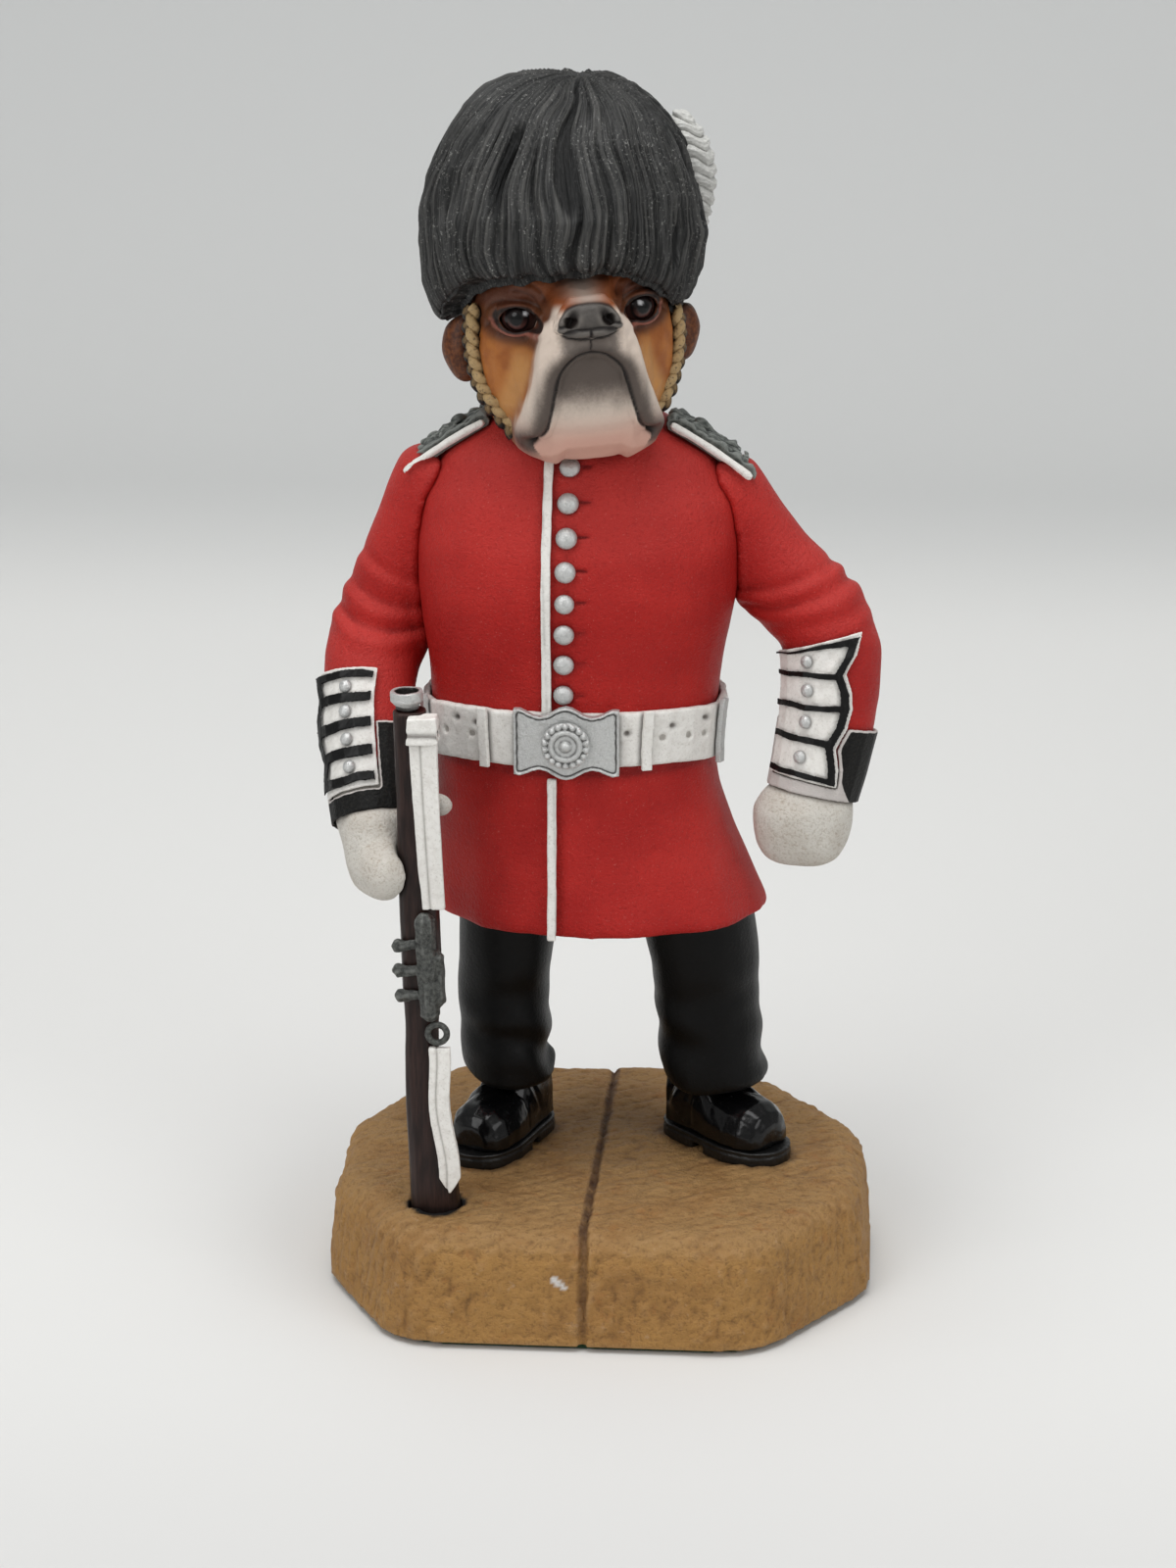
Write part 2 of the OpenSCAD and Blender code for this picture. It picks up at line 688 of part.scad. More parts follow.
module buckle_roundel() {
    f = function (s, t, g) tunic_front(s, t, g);
    n = facing(f, buckle_x, waist_z, 0.5, 0.5);
    disc_t = 0.5;
    bead_n = 18;
    color("#c4c7ca") translate(f(buckle_x, waist_z, buckle_g + buckle_t) + n * 1.6 * fit_gap) {
        rotate([0, acos(n[2]), atan2(n[1], n[0])]) {
            cylinder(r = roundel_r, h = disc_t, $fn = 48);
            translate([0, 0, disc_t]) rotate_extrude($fn = 48) {
                translate([roundel_r * 0.6, 0]) circle(0.3, $fn = 16);
            }
            translate([0, 0, disc_t - 0.1]) sphere(roundel_r * 0.24);
            for (k = [0:bead_n - 1]) {
                rotate([0, 0, 360 * k / bead_n]) translate([roundel_r * 0.87, 0, disc_t]) sphere(0.36);
            }
        }
    }
}

// Arms

sleeve_n = 18;
function sleeve_ring(st, u, g, n = sleeve_n) = [for (i = [0:n - 1]) sleeve_at(st, 360 * i / n, u, g)];

module sleeve_solid(st, cuff_top) {
    loft([for (u = sleeve_rows(cuff_top)) sleeve_ring(st, u, 0)]);
}

module sleeve_seat(st, u0, u1, g, levels = 8) {
    lap = 0.01;
    for (j = [1:levels]) {
        low = mix(u0, u1, (j - 1) / levels);
        high = mix(u0, u1, j / levels) + lap;
        hull() loft([sleeve_ring(st, low, g), sleeve_ring(st, high, g)]);
    }
}

module right_sleeve() {
    color("#a81f22") difference() {
        sleeve_solid(right_arm, right_cuff_top);
        tunic_seat(fit_gap);
    }
}

module left_sleeve() {
    color("#a81f22") difference() {
        sleeve_solid(left_arm, left_cuff_top);
        tunic_seat(fit_gap);
    }
}

// Cuff: a close band round the wrist. Panel: a slashed piece let into it, scalloped between its bars
cuff_skin = fit_gap + cuff_t;
panel_g = 1.5 * fit_gap;
panel_skin = panel_g + cuff_t;
panel_rows = 8;
panel_cols = 5;
lace_t = 0.25;
lace_w = 11;
function flash_edge(flash, u) =
    let (t = (u - flash[2]) / (flash[3] - flash[2]))
    flash_scallop * abs(cos(360 * t)) + flash[4] * pow(max(t, 0), 6);
function flash_out(flash, u, side) = (side < 0 ? flash[0] : flash[1]) + side * flash_edge(flash, u);
function flash_in(flash, side) = side < 0 ? flash[1] : flash[0];

function flash_at(st, flash, side, s, u, g, spread) =
    let (out = flash_out(flash, u, side) + side * spread, in = flash_in(flash, side) - side * spread)
    sleeve_at(st, side < 0 ? mix(out, in, s) : mix(in, out, s), u, g);

module flash_panel(st, flash, side) {
    f = function (s, t, g) flash_at(st, flash, side, s, t, g, 0);
    sheet(f, 0, 1, flash[2], flash[3], panel_g, panel_skin, panel_cols, panel_rows);
}

// Room for the panel in the cuff
module flash_notch(st, flash, side) {
    spread = 12 * fit_gap;
    wall = 3 * fit_gap;
    low = flash[2] - 0.1 * fit_gap;
    f = function (s, t, g) flash_at(st, flash, side, s, t, g, spread);
    sheet(f, 0, 1, low, flash[3], -wall, cuff_skin + wall, panel_cols, panel_rows);
}

module cuff_ring(st, cuff_top) {
    mid = cuff_top / 2;
    corners = [
        [fit_gap, 0], [cuff_skin, 0], [cuff_skin, mid],
        [cuff_skin, cuff_top], [fit_gap, cuff_top], [fit_gap, mid]
    ];
    band(function (a, t, g) sleeve_at(st, a, t, g), corners, sleeve_n);
}

// Black lace: bars across the panel joined by a zigzag along its outer edge
bar_u = cuff_bar_w / 20;
function bar_at(flash, k) = mix(flash[2] + 1.7 * bar_u, flash[3] - 1.7 * bar_u, k / (bar_count - 1));

module flash_bars(st, flash, side) {
    low = panel_skin + fit_gap;
    high = low + lace_t;
    thinner = 0.04;
    margin = 4 * side;
    for (k = [0:bar_count - 1]) {
        u = bar_at(flash, k);
        a = flash_in(flash, side) + margin;
        b = flash_out(flash, u, side) - margin - lace_w * side / 2;
        sheet(function (s, t, g) sleeve_at(st, s, t, g), min(a, b), max(a, b),
            u - bar_u, u + bar_u, low, high, 4, 1);
    }
    edge = side < 0 ? 0 : -lace_w;
    f = function (s, t, g) sleeve_at(st, flash_out(flash, t, side) - margin + edge + lace_w * s, t, g);
    sheet(f, 0, 1, flash[2] + 0.7 * bar_u, flash[3] - 0.7 * bar_u, low + thinner, high - thinner, 1, 8);
}

module flash_buttons(st, flash) {
    f = function (s, t, g) sleeve_at(st, s, t, g);
    a = mix(flash[0], flash[1], 0.55);
    for (k = [0:bar_count - 2]) {
        u = bar_at(flash, k + 0.5);
        n = facing(f, a, u, 2, 0.02);
        stud(f(a, u, panel_skin + fit_gap / 2), n, cuff_button_d, cuff_button_d * 0.42);
    }
}

module right_cuff() {
    color("#17171b") difference() {
        cuff_ring(right_arm, right_cuff_top);
        flash_notch(right_arm, right_flash, -1);
    }
}

module left_cuff() {
    color("#17171b") difference() {
        cuff_ring(left_arm, left_cuff_top);
        flash_notch(left_arm, left_flash, 1);
    }
}

module right_cuff_flash() {
    color("#ece8de") flash_panel(right_arm, right_flash, -1);
}

module left_cuff_flash() {
    color("#ece8de") flash_panel(left_arm, left_flash, 1);
}

module right_cuff_bars() {
    color("#17171b") flash_bars(right_arm, right_flash, -1);
}

module left_cuff_bars() {
    color("#17171b") flash_bars(left_arm, left_flash, 1);
}

module cuff_buttons() {
    color("#b9bcc0") {
        flash_buttons(right_arm, right_flash);
        flash_buttons(left_arm, left_flash);
    }
}

// Shoulder straps

strap_w = 5.6;
strap_t = 1.8;
strap_edge_w = 1.2;
strap_y = tunic_y - 0.4;
strap_steps = 5;
function strap_at(side, t) =
    let (x = tunic_x + side * tunic_w * mix(0.29, 0.52, t))
    [x, strap_y, shoulder_z + 5.2 - 4.8 * t - 1.1 * t * t];

module strap_form(side, g) {
    for (k = [0:strap_steps - 1]) {
        hull() {
            for (j = [k, k + 1]) {
                translate(strap_at(side, j / strap_steps)) rotate([90, 0, 0]) {
                    cylinder(r = strap_t / 2 + g, h = strap_w + 2 * g, center = true, $fn = 8);
                }
            }
        }
    }
}

module strap_edge(side) {
    r = strap_edge_w / 2;
    front_edge = [0, -strap_w / 2 - fit_gap - r, 0];
    for (k = [0:strap_steps - 1]) {
        p = strap_at(side, k / strap_steps) + front_edge;
        q = strap_at(side, (k + 1) / strap_steps) + front_edge;
        bar(p, q, r, r, 6);
    }
}

module right_shoulder_strap() {
    color("#34382f") difference() {
        strap_form(-1, 0);
        tunic_seat(1.5 * fit_gap);
        sleeve_seat(right_arm, 3, arm_end, 3 * fit_gap);
    }
}

module left_shoulder_strap() {
    color("#34382f") difference() {
        strap_form(1, 0);
        tunic_seat(1.5 * fit_gap);
        sleeve_seat(left_arm, 3, arm_end, 3 * fit_gap);
    }
}

module right_strap_piping() {
    color("#e8e4da") difference() {
        strap_edge(-1);
        tunic_seat(1.5 * fit_gap);
        sleeve_seat(right_arm, 3, arm_end, 3 * fit_gap);
    }
}

module left_strap_piping() {
    color("#e8e4da") difference() {
        strap_edge(1);
        tunic_seat(1.5 * fit_gap);
        sleeve_seat(left_arm, 3, arm_end, 3 * fit_gap);
    }
}

module strap_buttons() {
    color("#b9bcc0") for (side = [-1, 1]) {
        p = strap_at(side, 0.3);
        n = unit([side * 0.45, 0, 1]);
        stud(p + n * (strap_t / 2 + 0.1), n, 2, 0.9);
    }
}

// Gloves

// Wrist of a glove, grown by g, filling the end of the cuff
module glove_wrist(st, g) {
    n = 9;
    out = (0.8 + g) * unit(point(along(st, 0)) - point(along(st, 0.1)));
    inner = cuff_lap - 0.15 * fit_gap + 0.1 * g;
    foot = [for (p = sleeve_ring(st, 0, g - fit_gap, n)) p + out];
    slices([foot, sleeve_ring(st, cuff_lap / 4, g, n), sleeve_ring(st, inner, g, n)]);
}

// Room that cuff and sleeve take round that wrist
module cuff_room(st) {
    difference() {
        sleeve_seat(st, 0, 0.8, panel_skin + lace_t + 2 * fit_gap, 2);
        glove_wrist(st, fit_gap / 2);
    }
}

// Right hand: palm to the right of the rifle, fingers closing behind it, heel of the hand showing in front
module right_glove_form() {
    heel = [grip[0] - 3.4, grip[1] - 1.1, grip[2] - 3.2];
    bar(right_wrist + [0.4, -1.4, -1.4], right_palm + [0, 0, 0.8], palm_r * 1.06, palm_r * 0.98, 10);
    bar(right_palm + [0, 0, 0.8], right_palm + [0.2, -1.2, -2.8], palm_r * 0.98, palm_r * 0.9, 10);
    bar(right_palm + [0.2, -1.2, -2.8], heel, palm_r * 0.9, palm_r * 0.74, 10);
    for (k = [0:3]) {
        z = grip[2] + 4.2 - 2.9 * k;
        r = finger_r * (k == 3 ? 0.82 : 0.92);
        knuckle = [grip[0] + 0.6, grip[1] + stock_t / 2 + 1.9, z - 0.2];
        bar([right_palm[0] + 1, right_palm[1], z - 0.4], knuckle, r * 1.1, r, 7);
        if (k == 0) {
            bar(knuckle, [grip[0] + 3.2, grip[1] + 2.4, z], r, r * 0.8, 7);
        }
    }
}

// Left hand: a closed mitten resting on the skirt
module left_glove_form() {
    bar(left_wrist + [0, -0.2, -0.2], left_palm + [0.2, -0.2, 0.6], palm_r * 1.12, palm_r * 1.12, 12);
    hull() {
        translate(left_palm + [1.6, -0.4, 0.8]) sphere(palm_r, $fn = 12);
        translate(left_palm + [-1.6, -0.6, 0.6]) sphere(palm_r * 0.98, $fn = 12);
        translate(left_palm + [1.6, -0.8, -1.6]) sphere(palm_r * 0.86, $fn = 12);
        translate(left_palm + [-1.9, -0.6, -1.8]) sphere(palm_r * 0.84, $fn = 12);
    }
}

module right_glove() {
    color("#ece8de") difference() {
        union() {
            right_glove_form();
            glove_wrist(right_arm, 0);
        }
        cuff_room(right_arm);
        rifle_place() rifle_seat();
        rifle_place() upper_sling_form(fit_gap);
    }
}

module left_glove() {
    color("#ece8de") difference() {
        union() {
            left_glove_form();
            glove_wrist(left_arm, 0);
        }
        cuff_room(left_arm);
        tunic_seat(fit_gap);
    }
}

// Head, modelled about the middle of the skull and turned as one

head_k = head_w / 24.4;
head_top = 15.6;
lip_low = -10.8;

module head_place() {
    translate([head_x, tunic_y - 0.4, head_z]) rotate([0, -head_tilt, head_turn]) children();
}

module ball(p, r, g) {
    translate(p * head_k) sphere(r * head_k + g, $fn = 8);
}

// Skull and cheeks from the throat up: height, half width, depth in front, depth behind, squareness
skull_sections = [
    [lip_low, 5, 8, 4, 2.4],
    [-8.1, 9.2, 9.4, 7, 2.5],
    [-4.8, 10.8, 10.4, 9.6, 2.6],
    [0, 11.8, 10.8, 12, 2.6],
    [6.5, 11.7, 11, 13.2, 2.5],
    [10, 10.9, 11.3, 12.8, 2.3],
    [13.4, 8.4, 9, 10.4, 2.2],
    [head_top, 4, 4.4, 5, 2]
];
// Muzzle with its hanging lips, from their lower edge to the bridge: height, half width, front, squareness
muzzle_sections = [
    [lip_low, 6.4, 13.2, 3],
    [-9.4, 8.5, 15, 3.6],
    [-5.8, 9, 16.8, 4.4],
    [-1.5, 8.1, 17.9, 4.4],
    [2.6, 7.2, 18.7, 4.2],
    [5.9, 6.1, 19, 3.6],
    [8.4, 4.8, 18, 3],
    [9.8, 3.6, 14.6, 2.6],
    [head_top, 1, 3, 2]
];

function oval_r(a, w, d, p) = pow(pow(abs(cos(a)) / w, p) + pow(abs(sin(a)) / d, p), -1 / p);
function skull_r(a, z) =
    let (s = section_at(skull_sections, z)) oval_r(a, s[1], sin(a) < 0 ? s[2] : s[3], s[4]);
function muzzle_r(a, z) =
    let (m = section_at(muzzle_sections, z)) sin(a) < 0 ? oval_r(a, m[1], m[2], m[3]) : 0;

// Relief of the face at angle e from its middle: sockets, brows, cheek bones, the furrow between the brows
function swell(e, z, at, w, h) = exp(-pow((e - at[0]) / w, 2) - pow((z - at[1]) / h, 2));
function face_relief(e, z) =
    0.7 * swell(e, z, [34, 9.8], 12, 1.6) + 0.5 * swell(e, z, [56, 2.4], 14, 2.4)
    - 1.1 * swell(e, z, [37, 6.2], 11, 2) - 0.5 * swell(e, z, [0, 11.4], 8, 1.6)
    - 0.6 * swell(e, z, [0, 3.6], 4, 1.6);

// Cheeks and muzzle flow into each other
flow = 18;
function head_at(a, z, g) =
    let (both = pow(skull_r(a, z), flow) + pow(muzzle_r(a, z), flow))
    let (r = (pow(both, 1 / flow) + face_relief(abs(a - front), z)) * head_k + g)
    [r * cos(a), r * sin(a), z * head_k];

function head_ring(z, g) =
    let (n = 30)
    [for (i = [0:n - 1]) let (k = 2 * i / n - 1) head_at(front + 180 * k * (0.5 + 0.5 * k * k), z, g)];
function skull_ring(z, g) =
    let (n = 20)
    [
        for (i = [0:n - 1])
        let (a = 360 * i / n, r = skull_r(a, z) * head_k + g)
        [r * cos(a), r * sin(a), z * head_k]
    ];

module head_form(g) {
    rows = 16;
    loft([for (j = [0:rows]) head_ring(mix(lip_low, head_top, j / rows), g)]);
}

// Upper head for the cap to sit on, and the skull alone for the ears and the chain
seat_low = -5;
seat_rows = 9;

module head_seat(g) {
    slices([for (j = [0:seat_rows]) head_ring(mix(seat_low, head_top + g, j / seat_rows), g)]);
}

module lip_seat(g) {
    slices([for (j = [0:seat_rows]) head_ring(mix(lip_low, 0, j / seat_rows), g)]);
}

module skull_seat(g) {
    slices([for (j = [0:seat_rows]) skull_ring(mix(seat_low, head_top, j / seat_rows), g)]);
}

// Arch of the mouth under the nose, down to its corners and in again under the lips
mouth_arch = [
    [0, 3.3], [2.7, 2.2], [4.3, 0.2], [4.9, -3], [5.6, -5.4],
    [6.9, -7.2], [5.2, -8.2], [3.9, -9.2], [3.4, -13], [0, -13]
];
mouth_back = 9.5;

module mouth_half(g) {
    offset(delta = g) polygon(mouth_arch * head_k);
}

module mouth_cut(g) {
    translate([0, g - mouth_back * head_k, 0]) rotate([90, 0, 0]) linear_extrude(15 * head_k) {
        mouth_half(g);
        mirror([1, 0]) mouth_half(g);
    }
}

// Eyes: a ball behind lids with an almond opening
eye_turn = 20;
lid_t = 0.6;
eye_open_w = eye_d * 0.96;
eye_open_h = eye_d * 0.62;

module eye_place(s) {
    translate([s * 6.7, -8.3, 6.2] * head_k) rotate([90, 0, s * eye_turn]) children();
}

module eye_balls(g, n) {
    for (s = [-1, 1]) {
        eye_place(s) sphere(eye_d / 2 + g, $fn = n);
    }
}

module eye_lids(g) {
    for (s = [-1, 1]) {
        eye_place(s) sphere(eye_d / 2 + lid_t + g, $fn = 14);
    }
}

module eye_openings() {
    r = (eye_open_w * eye_open_w + eye_open_h * eye_open_h) / (4 * eye_open_h);
    for (s = [-1, 1]) {
        eye_place(s) linear_extrude(eye_d) intersection() {
            translate([0, r - eye_open_h / 2]) circle(r, $fn = 20);
            translate([0, eye_open_h / 2 - r]) circle(r, $fn = 20);
        }
    }
}

module nose_form(g) {
    w = nose_w / 2 / head_k;
    hull() {
        ball([w * 0.62, -18.2, 7], 1.7, g);
        ball([-w * 0.62, -18.2, 7], 1.7, g);
        ball([w * 0.4, -17.8, 8.6], 1.3, g);
        ball([-w * 0.4, -17.8, 8.6], 1.3, g);
        ball([0, -18.8, 6.2], 1.2, g);
    }
}

module head() {
    color("#a8642c") difference() {
        head_place() difference() {
            union() {
                head_form(0);
                eye_lids(0);
            }
            mouth_cut(fit_gap);
            eye_openings();
            eye_balls(1.5 * fit_gap, 12);
            nose_form(fit_gap);
        }
        tunic_seat(fit_gap);
    }
}

// Lower jaw: fills the arch of the mouth, a little behind the lips
jaw_back = 0.9;

module lower_jaw() {
    color("#c79c90") difference() {
        head_place() intersection() {
            head_form(-jaw_back);
            mouth_cut(0);
        }
        tunic_seat(fit_gap);
    }
}

module nose() {
    color("#2b2a2c") head_place() difference() {
        nose_form(0);
        for (s = [-1, 1]) {
            hull() {
                ball([s * nose_w * 0.24, -20, 7], 0.65, 0);
                ball([s * nose_w * 0.38, -19.6, 7.4], 0.45, 0);
            }
        }
    }
}

module eyes() {
    color("#1a1210") head_place() eye_balls(0, 24);
}

module ear_form(s) {
    bar([s * 12, 0.8, 5] * head_k, [s * 13.2, -0.2, 1.4] * head_k, 2.4, 2.3, 9);
    bar([s * 13.2, -0.2, 1.4] * head_k, [s * 12.9, -1, -0.9] * head_k, 2.3, 1.6, 9);
}

module ear(s) {
    difference() {
        head_place() ear_form(s);
        head_place() skull_seat(2 * fit_gap);
        cap_form(fit_gap);
    }
}

module right_ear() {
    color("#5a3216") ear(-1);
}

module left_ear() {
    color("#5a3216") ear(1);
}

// Chin chain: a plaited band down the cheek, its links meeting in chevrons, clear of the lips
cheek_low = -8.2;
chain_t = 1.9;
chain_links = floor(18 * head_k / link_len);
function chain_at(side, s, t, g) =
    let (z = mix(7.6, -9.8, t), a = front + side * (mix(71, 38, pow(t, 4)) + 5.4 * s * chain_w / 2.5))
    let (link = 0.5 + 0.5 * cos(360 * chain_links * t + 180 * abs(s)))
    let (rise = g * (1 - 0.3 * link) * (1 - 0.35 * s * s))
    let (p = head_at(a, max(z, cheek_low), rise + 1.5 * fit_gap))
    [p[0], p[1], z * head_k];

module chin_chain(side) {
    f = function (s, t, g) chain_at(side, side * s, t, g);
    difference() {
        head_place() sheet(f, -1, 1, 1, 0, 0, chain_t, 4, 2 * chain_links);
        head_place() lip_seat(fit_gap);
        cap_form(fit_gap);
    }
}

module right_chin_chain() {
    color("#a9813a") chin_chain(-1);
}

module left_chin_chain() {
    color("#a9813a") chin_chain(1);
}

// Bearskin: long locks of fur lie from the crown to the brim, each broken into overlapping lengths

cap_x = head_x - 1.4;
cap_y = tunic_y + 0.2;
cap_rows = 10;
cap_n = 4 * lock_count;
cap_end = 0.985;
function brim_at(a) =
    let (f = -sin(a), low = brim_side + brim_lean * cos(a))
    f > 0 ? mix(low, brim_front, f * f * (3 - 2 * f)) : mix(low, brim_back, f * f);
function share(v) = v - floor(v);
function lock_at(a, t) = (a + lock_swing * sin(170 * t + 3 * a)) * lock_count / 360;
function fur(a, t) =
    let (l = lock_at(a, t), ridge = hump(2 * share(l) - 1), start = share(9.7 * sin(77 * floor(l))))
    tuft_depth * ridge * (1 - t * t) * (1 - 0.7 * share(2.3 * t + start));
function tip(a, t) = tip_len * hump(8 * t) * (1 + cos(a * cap_n / 2)) * (1 + abs(sin(37 * a))) / 4;
function cap_at(a, t, g) =
    let (rim = brim_at(a), e = 90 * t, tuck = mix(0.18, 0.08, pow(max(0, -sin(a)), 2)))
    let (low = 1 - tuck * pow(1 - min(1, t * 4.5), 2))
    let (r = low * pow(cos(e), 0.62), out = (fur(a, t) + g) * cos(e * 0.9))
    [
        cap_x + (cap_w / 2 * r + out) * cos(a),
        cap_y + (cap_d / 2 * r + out) * sin(a),
        rim + (cap_top - rim) * pow(sin(e), 0.96) + g * sin(e) - g * hump(t * 8) - tip(a, t)
    ];

module cap_form(g) {
    loft([
        for (j = [0:cap_rows])
        [for (i = [0:cap_n - 1]) cap_at(360 * i / cap_n, cap_end * j / cap_rows, g)]
    ]);
}

module bearskin() {
    color("#2f2f31") difference() {
        cap_form(0);
        head_place() head_seat(2 * fit_gap);
        head_place() eye_lids(fit_gap);
    }
}

// Plume standing at the left side of the cap
plume_foot = [cap_x + cap_w * 0.46, cap_y + 3.6, brim_side + 9];

module plume() {
    rows = 10;
    n = 10;
    color("#efece2") difference() {
        slices([
            for (j = [0:rows])
            let (t = j / rows, full = max(sin(180 * pow(mix(0.02, 0.975, t), 1.5)), 0.04))
            let (w = plume_w / 2 * pow(full, 0.55))
            let (p = plume_foot + [0.9 - 2.6 * t * t, 0.6 * t, plume_len * t])
            [
                for (i = [0:n - 1])
                let (a = 360 * i / n, r = w * (1 + 0.08 * sin(360 * 5 * t + 40 * sin(2 * a))))
                p + [r * cos(a) - 0.1 * r, r * sin(a), 0]
            ]
        ]);
        cap_form(fit_gap);
    }
}

// Rifle, drawn upright about the foot of its middle line and leaned into the right hand

module rifle_place() {
    translate([rifle_x, rifle_y, floor_z]) rotate([0, -rifle_lean, 0]) children();
}

wrist_z = rifle_len * 0.36;
barrel_z = rifle_len - 2.4;

// Stations of the stock: height, left edge and right edge as shares of the butt, thickness as a share
stock_shape = [
    [-socket_depth, -0.5, 0.5, 1],
    [rifle_len * 0.1, -0.5, 0.45, 1],
    [rifle_len * 0.2, -0.5, 0.34, 0.96],
    [rifle_len * 0.31, -0.46, 0.2, 0.84],
    [wrist_z, -0.44, 0.22, 0.84],
    [rifle_len * 0.42, -0.45, 0.3, 0.9],
    [rifle_len * 0.5, -0.45, 0.34, 0.94],
    [rifle_len * 0.7, -0.42, 0.34, 0.92],
    [barrel_z, -0.38, 0.26, 0.8]
];

module stock_slice(s, g) {
    left = s[1] * butt_w - g;
    right = s[2] * butt_w + g;
    t = s[3] * stock_t / 2 + g;
    translate([0, 0, s[0]]) linear_extrude(0.03) {
        polygon([
            for (a = [0:30:330])
            [(left + right) / 2 + (right - left) / 2 * spow(cos(a), 0.7), t * spow(sin(a), 0.7)]
        ]);
    }
}

module stock_form(g) {
    for (k = [0:len(stock_shape) - 2]) {
        hull() {
            stock_slice(stock_shape[k], g);
            stock_slice(stock_shape[k + 1], g);
        }
    }
}

muzzle_x = -0.1 * butt_w;

// Short barrel end with a flared muzzle ring
module barrel_form(g) {
    translate([muzzle_x, 0, barrel_z + fit_gap]) {
        rotate_extrude() polygon([
            [0, 0], [muzzle_d * 0.36 + g, 0], [muzzle_d * 0.36 + g, 0.4], [muzzle_d / 2 + g, 1.1],
            [muzzle_d / 2 + g, 2.2], [0, 2.2]
        ]);
    }
}

module rifle_seat() {
    stock_form(fit_gap);
    barrel_form(fit_gap);
}

module rifle_stock() {
    color("#4a2018") rifle_place() stock_form(0);
}

module rifle_barrel() {
    color("#b9bcc0") rifle_place() difference() {
        barrel_form(0);
        translate([muzzle_x, 0, barrel_z + 1.1]) cylinder(d = bore_d, h = 7);
    }
}

// Action: receiver on the front of the stock, its magazine, and the knobs beside it
module rifle_action() {
    y = -stock_t * 0.47;
    low = rifle_len * 0.4;
    high = rifle_len * 0.57;
    color("#3a3b3d") rifle_place() difference() {
        union() {
            bar([0.7, y - 0.3, low], [0.6, y - 0.4, high], 1.4, 1.3, 7);
            bar([1.5, y, low + 1.4], [1.6, y, low + 6.4], 1.3, 1.2, 7);
            for (k = [0:2]) {
                z = low + 2 + 3.2 * k;
                bar([-0.8, y - 0.2, z], [-2.9, y + 0.3, z - 0.4], 0.65, 0.85, 6);
            }
        }
        stock_form(fit_gap);
    }
}

// Sling: a keeper under the muzzle, a strap down the stock to the swivel, a tail below it

sling_y = -stock_t * 0.47 - fit_gap - sling_t / 2;
keeper_z = barrel_z - 3.1;
keeper_x = butt_w * 0.22;

// Box of the keeper, folded round the front edge of the stock
module sling_keeper() {
    color("#ece8de") rifle_place() difference() {
        hull() {
            translate([keeper_x, sling_y + 0.4, keeper_z]) cube([3.8, sling_t + 2, 0.4], center = true);
            translate([keeper_x, sling_y + 0.4, keeper_z + 2.8]) {
                cube([3.4, sling_t + 1.6, 0.4], center = true);
            }
        }
        stock_form(fit_gap);
        upper_sling_form(fit_gap);
    }
}

function sling_at(t) =
    let (z = mix(rifle_len * 0.6, keeper_z + 1, t))
    [mix(butt_w * 0.28, keeper_x, t), sling_y - 0.5 * sin(180 * t), z];

module upper_sling_form(g) {
    for (k = [0:8]) {
        hull() {
            for (j = [k, k + 1]) {
                w = mix(sling_w, sling_w * 1.25, j / 9);
                translate(sling_at(j / 9)) cube([w + 2 * g, sling_t + 2 * g, 0.3 + 2 * g], center = true);
            }
        }
    }
}

module upper_sling() {
    color("#ece8de") rifle_place() difference() {
        upper_sling_form(0);
        stock_form(fit_gap);
    }
}

swivel_z = rifle_len * 0.355;

module sling_swivel() {
    wire = 0.4;
    y = -stock_t * 0.46 - fit_gap - wire;
    color("#b9bcc0") rifle_place() translate([butt_w * 0.24, y, swivel_z]) rotate([90, 0, 0]) {
        rotate_extrude() translate([1.15, 0]) circle(wire, $fn = 16);
    }
}

function tail_at(t) =
    let (z = mix(swivel_z - 1.9, rifle_len * 0.04, t))
    [mix(butt_w * 0.22, butt_w * 0.34, t), sling_y - 0.3 * sin(180 * t), z];

module lower_sling() {
    color("#ece8de") rifle_place() difference() {
        for (k = [0:8]) {
            hull() {
                for (j = [k, k + 1]) {
                    w = j == 9 ? 0.3 : sling_w * 0.95;
                    translate(tail_at(j / 9)) cube([w, sling_t, 0.3], center = true);
                }
            }
        }
        stock_form(fit_gap);
    }
}

felt_pad();
base();
right_sole();
left_sole();
right_boot();
left_boot();
right_trouser_leg();
left_trouser_leg();
tunic();
upper_piping();
lower_piping();
tunic_buttons();
belt();
belt_keepers();
belt_slides();
buckle_plate();
buckle_roundel();
right_shoulder_strap();
left_shoulder_strap();
right_strap_piping();
left_strap_piping();
strap_buttons();
right_sleeve();
left_sleeve();
right_cuff();
left_cuff();
right_cuff_flash();
left_cuff_flash();
right_cuff_bars();
left_cuff_bars();
cuff_buttons();
right_glove();
left_glove();
head();
lower_jaw();
nose();
eyes();
right_ear();
left_ear();
right_chin_chain();
left_chin_chain();
bearskin();
plume();
rifle_stock();
rifle_barrel();
rifle_action();
sling_keeper();
upper_sling();
lower_sling();
sling_swivel();
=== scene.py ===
import itertools
import math

import bmesh
import bpy
import numpy as np
from mathutils import Matrix, Vector
from mathutils.bvhtree import BVHTree


